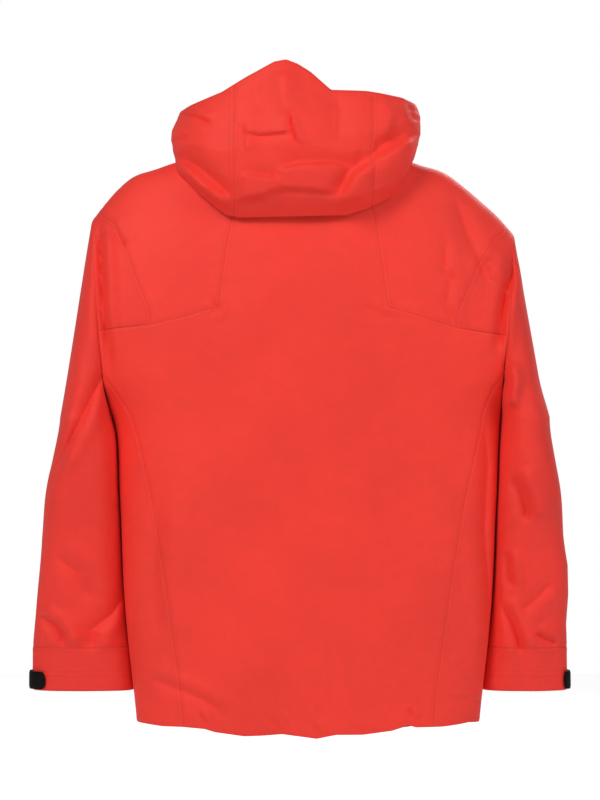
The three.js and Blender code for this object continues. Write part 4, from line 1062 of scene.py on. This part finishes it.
def make_tabs():
    low = CUFF_END_Z + TAB_RISE
    high = low + TAB_WIDTH
    columns = np.r_[np.linspace(0, 0.8, 20), np.linspace(0.82, 1, 14)]
    rows = np.r_[0, 0.02, 0.06, 0.14, np.linspace(0.2, 0.8, 7), 0.86, 0.94, 0.98, 1]
    for side, flip in SIDES:
        tab, patch_cloth = (tab_rubber, "moulded_tab"), (loop_fleece, "black_webbing")
        # node, body, start and end in degrees, rounded share, seat, thickness, margin, looks
        parts = (
            ("cuff_tab_base", "forearm", TAB_FROM, TAB_FOLD - TAB_ENDS_APART, 0.0,
             TAB_SEAT, TAB_THICKNESS, 0.0, tab),
            ("cuff_tab", "cuff_tab", TAB_FOLD + TAB_HINGE_GAP, TAB_END[side], 0.16,
             TAB_SEAT, TAB_THICKNESS, 0.0, tab),
            ("cuff_loop_patch", "forearm", PATCH_FROM, PATCH_TO, 0.04,
             PATCH_SEAT, PATCH_THICKNESS, PATCH_MARGIN, patch_cloth),
        )
        for node, body, start, end, rounded, seat, thickness, margin, (material, slot) in parts:
            edges = low + margin, high - margin
            outer, inner = (on_cuff(start, end, rounded, *edges, seat + out, flip) for out in (thickness, 0))
            made = strip(f"{node}_{side}_shape", outer, columns, rows, material, inner,
                         (abs(end - start), edges[1] - edges[0]))
            settle(made, f"{node}_{side}", slot, f"{body}_{side}")


# ---------------------------------------------------------------- collar

def collar_point(angle, height, inward=0.0):
    neck = BODY_RINGS[NECK_RING]
    share = height[..., None]
    point = ring_point(neck, angle) * (1 - share) + ring_point(COLLAR_TOP, angle) * share
    out = vectors(np.sin(angle), np.cos(angle), 0.0)
    return point - out * np.asarray(inward)[..., None]


COLLAR_COLUMNS = 121
COLLAR_ROW_STEP = 4.0
COLLAR_HEIGHT = 52.0


def collar_grid(front_half_width, low, high, depth, rows):
    """Points of one layer of the collar, between two shares of its height."""
    u, v = np.meshgrid(np.linspace(-1, 1, COLLAR_COLUMNS), rows)
    height = low + (high - low) * v
    half = BODY_RINGS[NECK_RING, 1] + (COLLAR_TOP[1] - BODY_RINGS[NECK_RING, 1]) * height
    share = front_half_width / half
    end = math.pi - np.arctan2(share, (1 - share ** SQUARENESS) ** (1 / SQUARENESS))
    angle = u * end
    sway = 0.8 * np.sin(angle * 5 + 1) * np.sin(math.pi * v) + 0.5 * np.sin(angle * 11)
    sway = sway * (0.3 + 0.7 * smooth(0.1, 0.4, v)) * (np.abs(u) < 0.93)
    points = collar_point(angle, height, depth - sway)
    return points, vectors(angle * 80, height * 50)


def make_collar():
    rows = spaced(COLLAR_HEIGHT, COLLAR_ROW_STEP)
    points, uv = collar_grid(ZIP_HALF_WIDTH + 0.4, 0.012, 1.0, 0.6, rows)
    made = cloth_piece("collar_outer_cloth", [points], [uv], shell, inside, outward=body_outward)
    settle(made, "collar_outer", "shell_fabric")
    points, uv = collar_grid(27.0, 0.03, 0.98, 2.6, rows)
    made = cloth_piece("collar_lining_cloth", [points], [uv], lining, lining, outward=body_inward,
                       groove=0.4, thickness=LINING)
    settle(made, "collar_lining", "soft_lining")


# ---------------------------------------------------------------- hood

HOOD_MIDDLE = 15.0
HOOD_SEAM = 91.0
HOOD_SIDE_ANGLE = math.radians(88)
HOOD_CURL = math.radians(24)
SIDE_CURL = 19.0
BRIM_FROM = 1.03
ROLL = 5.0  # radius of the rolled edge of the brim
ROLL_HEIGHT, ROLL_TURN = 0.2, math.radians(165)
SEAM_CALM, SEAM_CALM_WIDTH = 0.45, 9.0
SIDE_TURN, SIDE_DROP = math.radians(140), 16.0
NECK_SHARE_OF_TURN = 0.45
FOOT_TURN, FOOT_RISE = 3.0, 7.0  # how far the cloth under the fold turns in and rises
FOOT_END = -0.12
HOOD_TOP = np.array([
    (-155.9, 75.5), (-150, 78.5), (-134.5, 83), (-86.7, 89.5), (-37.9, 90.6),
    (-25.3, 101.3), (-10.6, 114), (6.9, 124.7), (22.5, 130.5), (39.1, 127.6),
    (76.2, 108.1), (109.3, 88.6), (161, 70.1), (167.8, 68.1),
], float)
HOOD_FOOT = np.array([
    (-155.9, 7.7), (-142.3, -6.9), (-123.7, -45), (-86.7, -63.5), (-57.4, -73.2),
    (83, -76.2), (102.5, -72.3), (162, -22.5), (168.8, -11.8), (175.6, -2.1),
], float)
HOOD_HEIGHTS = np.array([0, 0.13, 0.3, 0.5, 0.7, 0.85, 1])
HOOD_LEFT = np.array([164, 170, 174, 177, 176, 172, 167], float)
HOOD_RIGHT = np.array([140, 147, 154, 158, 158, 157, 154], float)
HOOD_DEPTH = np.array([77, 106, 116, 120, 115, 107, 97], float)
HOOD_FOLDS = [
    ([(25, 140), (22, 100), (18, 50)], 5.1, 14, "ridge"),
    ([(17, 60), (13, 40), (5, 14)], 3.6, 5, "step"),
    ([(80, 34), (56, 30), (12, 33)], 3.8, 9, "step"),
    ([(83, 48), (80, 32), (79, 6)], 3.0, 5, "crease"),
    ([(166, 66), (145, 56), (118, 44)], 4.8, 5, "crease"),
    ([(178, 27), (166, 26), (150, 30)], 3.8, 5, "crease"),
    ([(90, -66), (104, -50), (139, -18), (174, 8)], 9.5, 17, "step"),
    ([(-158, 38), (-120, 17), (-90, -4), (-66, -22), (-50, -50), (-47, -68)], 10.5, 19, "step"),
    ([(-74, -14), (-44, -8), (4, -9), (40, -18)], 5.2, 16, "step"),
    ([(24, -26), (54, -25), (82, -20)], 4.0, 12, "step"),
    ([(98, -56), (56, -50), (28, -40), (0, -42), (-52, -47)], 5.0, 13, "step"),
    ([(-40, 98), (-50, 60), (-46, 20)], 4.8, 22, "crease"),
    ([(-95, 92), (-110, 60), (-104, 20)], 4, 12, "ridge"),
    ([(-140, 84), (-146, 60), (-152, 50)], 3.5, 6, "crease"),
    ([(60, 122), (64, 84), (52, 56)], 3.8, 18, "crease"),
]


def hood_point(angle, height):
    """angle 0 is the centre back. height 0 is the fold at the foot, 1 the edge of the brim; past them the
    cloth rolls inwards."""
    h = np.clip(height, 0, 1)
    full_angle = angle
    angle = np.clip(angle, -HOOD_SIDE_ANGLE, HOOD_SIDE_ANGLE)
    share = round_share(angle, HOOD_SQUARENESS)
    left, right = (np.interp(h, HOOD_HEIGHTS, widths) for widths in (HOOD_LEFT, HOOD_RIGHT))
    side = np.where(angle > 0, left, right)
    depth = np.interp(h, HOOD_HEIGHTS, HOOD_DEPTH)
    x = side * share * np.sin(angle)
    top = np.interp(x, HOOD_TOP[:, 0], HOOD_TOP[:, 1]) - ROLL
    foot = np.interp(x, HOOD_FOOT[:, 0], HOOD_FOOT[:, 1])
    z = foot + (top - foot) * h
    fade = smooth(0, 0.1, height) * smooth(1.02, 0.9, height)
    beside_seam = 1 - SEAM_CALM * np.exp(-((np.abs(x) - HOOD_SEAM) / SEAM_CALM_WIDTH) ** 2)
    swell = relief(x, z, HOOD_FOLDS) * (0.25 + 0.75 * fade) * beside_seam + waves(x, z, *HOOD_WAVES) * fade
    out_x, out_y = share * np.sin(angle), share * np.cos(angle)
    bulge = swell * (0.35 + 0.65 * np.abs(out_y))
    x, y = x + out_x * bulge, HOOD_MIDDLE + depth * out_y + out_y * bulge
    x, y, z = curl_side(full_angle, x, y, z)
    over = np.clip((height - 1) / ROLL_HEIGHT, 0, 1) * ROLL_TURN
    under = np.clip(height / FOOT_END, 0, 1)
    inward = ROLL * (1 - np.cos(over)) + FOOT_TURN * under
    x, y = x - out_x * inward, y - out_y * inward
    z = z + ROLL * np.sin(over) + FOOT_RISE * under ** 1.5
    return vectors(x, y, z)


def curl_side(angle, x, y, z):
    """Past the side angle the cloth turns in towards the collar."""
    past = np.maximum(np.abs(angle) - HOOD_SIDE_ANGLE, 0)
    turn = past / HOOD_CURL * SIDE_TURN
    x = x - np.sign(angle) * SIDE_CURL * (1 - np.cos(turn))
    y = y - 1.5 * SIDE_CURL * np.sin(turn)
    return x, y, z - SIDE_DROP * (1 - np.cos(turn)) * smooth(20, 90, z)


def hood_weight(height):
    """Share of the hood's turn for each height, smaller near the neck."""
    return NECK_SHARE_OF_TURN + (1 - NECK_SHARE_OF_TURN) * smooth(-0.1, 0.75, height)


def hood_seam_angle(x, height):
    half = np.interp(np.clip(height, 0, 1), HOOD_HEIGHTS, HOOD_LEFT if x > 0 else HOOD_RIGHT)
    share = abs(x) / half
    return math.copysign(1, x) * np.arctan2(share, (1 - share ** HOOD_SQUARENESS) ** (1 / HOOD_SQUARENESS))


def hood_cloth(node, start, end, columns, heights):
    """A panel of the hood between two angles, each a function of the height."""
    u, h = np.meshgrid(columns, heights)
    angle = start(h) + (end(h) - start(h)) * u
    points = hood_point(angle, h)
    uv = vectors(angle * 140, h * 190, hood_weight(h))
    made = cloth_piece(f"{node}_cloth", [points], [uv], shell, inside, thickness=HOOD_FABRIC, groove=0.4,
                       outward=lambda p: p - np.array([0, HOOD_MIDDLE, 40]))
    settle_across(made, node)


def fixed_angle(value):
    return lambda h: np.full(h.shape, value)


def make_hood():
    foot_rows = np.linspace(FOOT_END, 0, 5)[:-1]
    rows = np.r_[foot_rows, np.linspace(0, 1, 76), 1.008, 1.016, 1.023, 1.027, BRIM_FROM]
    crown = spaced(2 * HOOD_SEAM + 2, 2.6)
    sides = spaced(190, 2.8)
    left, right = (lambda h: hood_seam_angle(HOOD_SEAM, h)), (lambda h: hood_seam_angle(-HOOD_SEAM, h))
    end = HOOD_SIDE_ANGLE + HOOD_CURL
    hood_cloth("hood_crown", right, left, crown, rows)
    hood_cloth("hood_side_left", left, fixed_angle(end), sides, rows)
    hood_cloth("hood_side_right", right, fixed_angle(-end), sides, rows)
    brim_rows = BRIM_FROM + np.r_[0, 0.004, 0.009, np.linspace(0.02, 0.17, 10)]
    hood_cloth("hood_brim", fixed_angle(-end), fixed_angle(end), np.linspace(0, 1, 180), brim_rows)
    make_neck_panel()


NECK_PANEL_ANGLE = math.radians(84)
NECK_PANEL_SEAT = 0.16  # share of the collar's height
NECK_PANEL_HUMP = 13.0


def make_neck_panel():
    u, v = np.meshgrid(np.linspace(-1, 1, 120), np.linspace(0, 1, 30))
    angle = u * NECK_PANEL_ANGLE
    seat = collar_point(angle, np.full(u.shape, NECK_PANEL_SEAT), -0.5)
    fold = hood_point(angle, np.full(u.shape, FOOT_END)) - np.array([0, 1.5, 0])
    points = seat + (fold - seat) * v[..., None]
    points[..., 2] += (NECK_PANEL_HUMP + 2.5 * np.sin(angle * 9)) * np.sin(math.pi * v)
    weight = hood_weight(FOOT_END) * smooth(0, 1, v)
    uv = vectors(angle * 110, v * 80, weight)
    made = cloth_piece("hood_neck_cloth", [points], [uv], inside, inside, groove=0.2,
                       outward=lambda p: np.array([0, 0, 1.0]))
    settle_across(made, "hood_neck_panel")


# ---------------------------------------------------------------- zips

def boxes(name, centres, sizes, material, turn=0.0, about=None):
    """Many small blocks as one piece."""
    corners = np.array([(a, b, c) for a in (-0.5, 0.5) for b in (-0.5, 0.5) for c in (-0.5, 0.5)])
    faces = np.array([(0, 1, 3, 2), (4, 6, 7, 5), (0, 4, 5, 1), (2, 3, 7, 6), (0, 2, 6, 4), (1, 5, 7, 3)])
    points = (centres[:, None] + corners[None] * np.asarray(sizes)[:, None]).reshape(-1, 3)
    if turn:
        points = turned(points, turn, about)
    all_faces = (faces[None] + 8 * np.arange(len(centres))[:, None, None]).reshape(-1, 4)
    return finish_piece(new_mesh(name, points, all_faces), material, sharp=30)


def turned(points, turn, about):
    c, s = math.cos(turn), math.sin(turn)
    p = points - about
    return vectors(p[..., 0] * c - p[..., 1] * s, p[..., 0] * s + p[..., 1] * c, p[..., 2]) + about


def frame_box(node):
    low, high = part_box(node)
    return np.array(low) * 1000 - ORIGIN, np.array(high) * 1000 - ORIGIN


def flat_strip(name, low, high, step, material, bow):
    """A flat strip of cloth filling a box that is thin in y."""
    size = high - low
    columns = np.linspace(0, 1, max(int(size[0] / step), 3) + 1)
    rows = np.linspace(0, 1, max(int(size[2] / step), 3) + 1)

    def at(y):
        def skin(u, v):
            edge = np.minimum(np.minimum(u, 1 - u) * size[0], np.minimum(v, 1 - v) * size[2])
            return vectors(low[0] + u * size[0], y + bow * smooth(0, 3, edge), low[2] + v * size[2])
        return skin
    return strip(name, at(low[1]), columns, rows, material, at(high[1]), (size[0], size[2]))


TOOTH_PITCH, TOOTH_HEIGHT = 2.3, 1.25
BEAD, BEAD_X = (1.6, 2.0, 1.5), 2.9  # the thick root of each tooth


def make_main_zip():
    for side, flip in SIDES:
        low, high = frame_box(f"main_zip_teeth_{side}")
        rows = np.arange(low[2] + 1.2, high[2] - 1, TOOTH_PITCH)
        if flip < 0:
            rows = rows + TOOTH_PITCH / 2
        middle = (low + high) / 2
        centres = vectors(middle[0] - flip * 0.1, middle[1], rows)
        tooth = (high[0] - low[0] + 0.3, high[1] - low[1] - 0.4, TOOTH_HEIGHT)
        beads = vectors(flip * BEAD_X, middle[1], rows)
        sizes = np.repeat(np.array([tooth, BEAD]), len(rows), axis=0)
        made = boxes(f"main_zip_teeth_{side}_row", np.concatenate([centres, beads]), sizes, zip_plastic)
        settle(made, f"main_zip_teeth_{side}", "zip_plastic")
        low, high = frame_box(f"main_zip_tape_{side}")
        made = flat_strip(f"main_zip_tape_{side}_cloth", low, high, 2.8, webbing, bow=-0.25)
        settle(made, f"main_zip_tape_{side}", "black_webbing")
    low, high = frame_box("storm_flap")
    made = flat_strip("storm_flap_cloth", low, high, 5, inside, bow=0.15)
    settle(made, "storm_flap", "shell_inside")
    low, high = frame_box("chin_guard")
    made = flat_strip("chin_guard_cloth", low, high, 2, lining, bow=0.3)
    settle(made, "chin_guard", "soft_lining")


POCKET_TAPE_IN, POCKET_TAPE_OUT = 2.6, 7.0
POCKET_TAPE_BACK, POCKET_TAPE_FRONT = 0.75, 1.6
POCKET_TOOTH_PITCH, POCKET_TOOTH_MARGIN = 1.7, 3.0
POCKET_TOOTH = (2.6, 1.2, 1.1)
POCKET_BAG = ((50.0, -580.0), (172.0, -345.0))
POCKET_BAG_DEPTH = 3.4


def pocket_skin(about, turn, out, depth):
    """One face of a tape edge beside the teeth of a pocket, on the side that the sign of out tells."""
    def at(u, v):
        across = out * (POCKET_TAPE_IN + (POCKET_TAPE_OUT - POCKET_TAPE_IN) * u)
        round_over = 0.35 * smooth(0, 0.4, np.minimum(u, 1 - u))
        return turned(about + vectors(across, -depth - round_over, (v - 0.5) * POCKET_LENGTH), turn, about)
    return at


def make_pockets():
    place = place_at(np.array(POCKET_X), np.array(POCKET_MIDDLE), True)
    point = body_point(place)
    point[2] = POCKET_MIDDLE
    near = body_point(place + np.array([0.02, 0]))
    slope = math.atan2(point[1] - near[1], point[0] - near[0])
    for side, flip in SIDES:
        about, turn = other_side(point, flip), slope * flip
        for edge, sign in (("front", -1), ("rear", 1)):
            faces = [pocket_skin(about, turn, sign * flip, depth)
                     for depth in (POCKET_TAPE_FRONT, POCKET_TAPE_BACK)]
            made = strip(f"pocket_zip_tape_{edge}_{side}_cloth", faces[0], np.linspace(0, 1, 8),
                         np.linspace(0, 1, 55), webbing, faces[1],
                         (POCKET_TAPE_OUT - POCKET_TAPE_IN, POCKET_LENGTH))
            settle(made, f"pocket_zip_tape_{edge}_{side}", "black_webbing")
        end = POCKET_LENGTH / 2 - POCKET_TOOTH_MARGIN
        rows = np.arange(-end, end, POCKET_TOOTH_PITCH)
        either_side = 0.9 * (-1.0) ** np.arange(len(rows))
        centres = about + vectors(either_side, -1.45, rows)
        sizes = np.tile(np.array(POCKET_TOOTH), (len(rows), 1))
        made = boxes(f"pocket_zip_teeth_{side}_row", centres, sizes, zip_plastic, turn, about)
        settle(made, f"pocket_zip_teeth_{side}", "zip_plastic")
    for side, flip in SIDES:
        us, vs = np.linspace(0, 1, 28), np.linspace(0, 1, 48)
        (low_x, low_z), (high_x, high_z) = POCKET_BAG
        across, up = low_x + (high_x - low_x) * us, low_z + (high_z - low_z) * vs
        edges = [place_at(across, np.full(us.shape, z), True) for z in (low_z, high_z)]
        edges += [place_at(np.full(vs.shape, x), up, True) for x in (low_x, high_x)]
        places = patch(*edges, us, vs)
        if flip < 0:
            places = flip_places(places)
        points, uv = body_grid(places)
        wave = 0.5 * np.sin(points[..., 0] / 17) * np.sin(points[..., 2] / 23)
        points = shape_cloth(points)
        points = points - unit(points * OUT_FROM_MIDDLE) * (POCKET_BAG_DEPTH + wave)[..., None]
        made = cloth_piece(f"pocket_bag_{side}_cloth", [points], [uv], lining, lining, thickness=LINING,
                           outward=body_outward, groove=0.2)
        settle(made, f"pocket_bag_{side}", "soft_lining")


# ---------------------------------------------------------------- hem, cord and loop

HEM_FACING_END = 92.0
HEM_FACING_HEIGHT = 32.0
CORD_Z = HEM_Z + 9
CORD_RADIUS = 1.4
CORD_DEPTH = 4.6
CORD_STEPS = 300
LOOP_THICKNESS = 1.1


def inside_point(angle, z, depth):
    """A point inside the shell, after it is shaped."""
    places = vectors(angle, position_of_height(BODY_RINGS, z))
    points = body_point(places)
    ahead = body_point(places + np.array([0.01, 0]))
    tangent = unit(ahead - points)
    outward = vectors(-tangent[..., 1], tangent[..., 0], 0.0)
    outward = outward * np.sign(np.sum(outward * points, -1))[..., None]
    return shape_cloth(points) - outward * np.asarray(depth)[..., None]


def make_hem():
    end = float(place_at(np.array(HEM_FACING_END), np.array(HEM_Z), True)[0])
    u, v = np.meshgrid(np.linspace(-1, 1, 241), np.linspace(0, 1, 12))
    depth = 7.6 - 4.6 * smooth(0.55, 1, v) - 2.4 * smooth(0.12, 0, v)
    points = inside_point(u * end, HEM_Z + 1 + HEM_FACING_HEIGHT * v, depth)
    uv = vectors(u * end * 200, v * HEM_FACING_HEIGHT)
    made = cloth_piece("hem_facing_cloth", [points], [uv], inside, inside, thickness=0.9, groove=0.3,
                       outward=body_inward)
    settle(made, "hem_facing", "shell_inside")
    cord_end = float(place_at(np.array(HEM_FACING_END - 7.5), np.array(CORD_Z), True)[0])
    angles = np.linspace(-cord_end, cord_end, CORD_STEPS)
    middle = inside_point(angles, CORD_Z, np.full(angles.shape, CORD_DEPTH))
    ahead = unit(np.gradient(middle, axis=0))
    up = np.array([0, 0, 1.0])
    side = unit(np.cross(ahead, up))
    up = np.cross(side, ahead)
    turns = np.linspace(0, 2 * math.pi, 13)
    radius = (CORD_RADIUS + 0.08 * np.sin(np.arange(CORD_STEPS) * 2.1))[:, None, None]
    across, over = np.cos(turns)[None, :, None], np.sin(turns)[None, :, None]
    ring = middle[:, None] + radius * (side[:, None] * across + up[:, None] * over)
    points, faces, _ = join_grids([ring], [np.zeros(ring.shape[:2] + (2,))])
    uv = vectors(0.0, points[:, 0])
    run = border_runs(points, border_edges(faces))
    left = [k for k in run if points[k][0] > 0]
    right = [k for k in run if points[k][0] < 0]
    all_faces = [list(face) for face in faces] + [left[::-1], right[::-1]]
    made = finish_piece(new_mesh("hem_cord_braid", points, all_faces, uv), webbing)
    settle(made, "hem_cord", "black_webbing")


def make_hang_loop():
    low, high = frame_box("hang_loop")
    size = high - low

    def skin(inward):
        def at(u, v):
            reach = (size[1] - LOOP_THICKNESS) * (1 - (2 * u - 1) ** 2) ** 0.75
            y = high[1] - LOOP_THICKNESS - reach + inward
            return vectors(low[0] + size[0] * u, y, low[2] + size[2] * v)
        return at
    made = strip("hang_loop_tape", skin(0.0), np.linspace(0, 1, 50), np.linspace(0, 1, 6), webbing,
                 skin(LOOP_THICKNESS), (size[0], size[2]))
    settle(made, "hang_loop", "black_webbing")


BEVEL_WIDTH, BEVEL_ANGLE = 0.00035, math.radians(40)
HARD_NODES = {
    zip_plastic: ["main_zip_box", "main_zip_slider", "main_zip_puller"]
    + [f"pocket_zip_{side}_{part}" for side, _ in SIDES for part in ("slider", "puller")],
    lock_plastic: [f"cord_lock{part}_{side}" for part in ("", "_plunger") for side, _ in SIDES],
}


def finish_hard_parts():
    for material, names in HARD_NODES.items():
        for name in names:
            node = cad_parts[name]
            node.data.materials.clear()
            node.data.materials.append(material)
            bevel = node.modifiers.new("soft edges", "BEVEL")
            bevel.width = BEVEL_WIDTH
            bevel.segments = 2
            bevel.limit_method = "ANGLE"
            bevel.angle_limit = BEVEL_ANGLE


# ---------------------------------------------------------------- stage

# place, aim, width and power, in metres and watts
LAMPS = {
    "key": ((1.7, 3.0, 2.0), (0, 0, -0.35), 1.2, 82),
    "fill": ((-2.5, 2.5, 1.2), (0, 0, -0.4), 1.8, 34),
    "front": ((-1.4, -3.2, 1.8), (0, 0, -0.35), 1.6, 66),
}


def lamp(name, place, target, width, power):
    data = bpy.data.lights.new(name, "AREA")
    data.shape = "SQUARE"
    data.size = width
    data.energy = power
    made = bpy.data.objects.new(name, data)
    made.location = place
    made.rotation_euler = (Vector(target) - Vector(place)).to_track_quat("-Z", "Y").to_euler()
    scene.collection.objects.link(made)


CAMERA_DISTANCE = 4.0
FRAME_HEIGHT = 1.080
CAMERA_X, CAMERA_Z = 0.004, -0.331
FLOOR_HALF, FLOOR_Z = 6.0, -1.25
FLOOR_GLOW, SKY_LIGHT = 0.66, 0.30


def make_stage():
    floor_mesh = bpy.data.meshes.new("floor")
    corners = [(-1, -1), (1, -1), (1, 1), (-1, 1)]
    points = [(x * FLOOR_HALF, y * FLOOR_HALF, FLOOR_Z) for x, y in corners]
    floor_mesh.from_pydata(points, [], [(0, 1, 2, 3)])
    floor = bpy.data.objects.new("floor", floor_mesh)
    scene.collection.objects.link(floor)
    pale = Nodes("pale floor", 0.9)
    pale.shader.inputs["Base Color"].default_value = (0.93, 0.93, 0.93, 1)
    pale.shader.inputs["Emission Color"].default_value = (1, 1, 1, 1)
    # The floor looks white, and lights the underside of the jacket less than it looks.
    seen = pale.add("ShaderNodeLightPath").outputs["Is Camera Ray"]
    pale.put(pale.shader.inputs["Emission Strength"], pale.math("MULTIPLY", seen, FLOOR_GLOW))
    floor_mesh.materials.append(pale.material)
    world = bpy.data.worlds.new("studio")
    world.use_nodes = True
    tree = world.node_tree
    tree.nodes["Background"].inputs["Color"].default_value = (1, 1, 1, 1)
    seen = tree.nodes.new("ShaderNodeLightPath").outputs["Is Camera Ray"]
    strength = tree.nodes.new("ShaderNodeMapRange")
    strength.inputs["To Min"].default_value = SKY_LIGHT
    strength.inputs["To Max"].default_value = 1.0
    tree.links.new(seen, strength.inputs["Value"])
    tree.links.new(strength.outputs["Result"], tree.nodes["Background"].inputs["Strength"])
    scene.world = world
    for name, settings in LAMPS.items():
        lamp(name, *settings)
    camera = bpy.data.cameras.new("camera")
    camera.sensor_width = 36
    camera.lens = camera.sensor_width * CAMERA_DISTANCE / FRAME_HEIGHT
    made = bpy.data.objects.new("camera", camera)
    made.location = (CAMERA_X, ORIGIN[1] / 1000 + CAMERA_DISTANCE, CAMERA_Z)
    made.rotation_euler = (math.radians(90), 0, math.radians(180))
    scene.collection.objects.link(made)
    scene.camera = made
    scene.view_settings.view_transform = "Standard"


make_back()
make_fronts()
make_shoulders()
make_sides()
make_sleeves()
make_tabs()
make_collar()
make_hood()
make_main_zip()
make_pockets()
make_hem()
make_hang_loop()
finish_hard_parts()
make_stage()
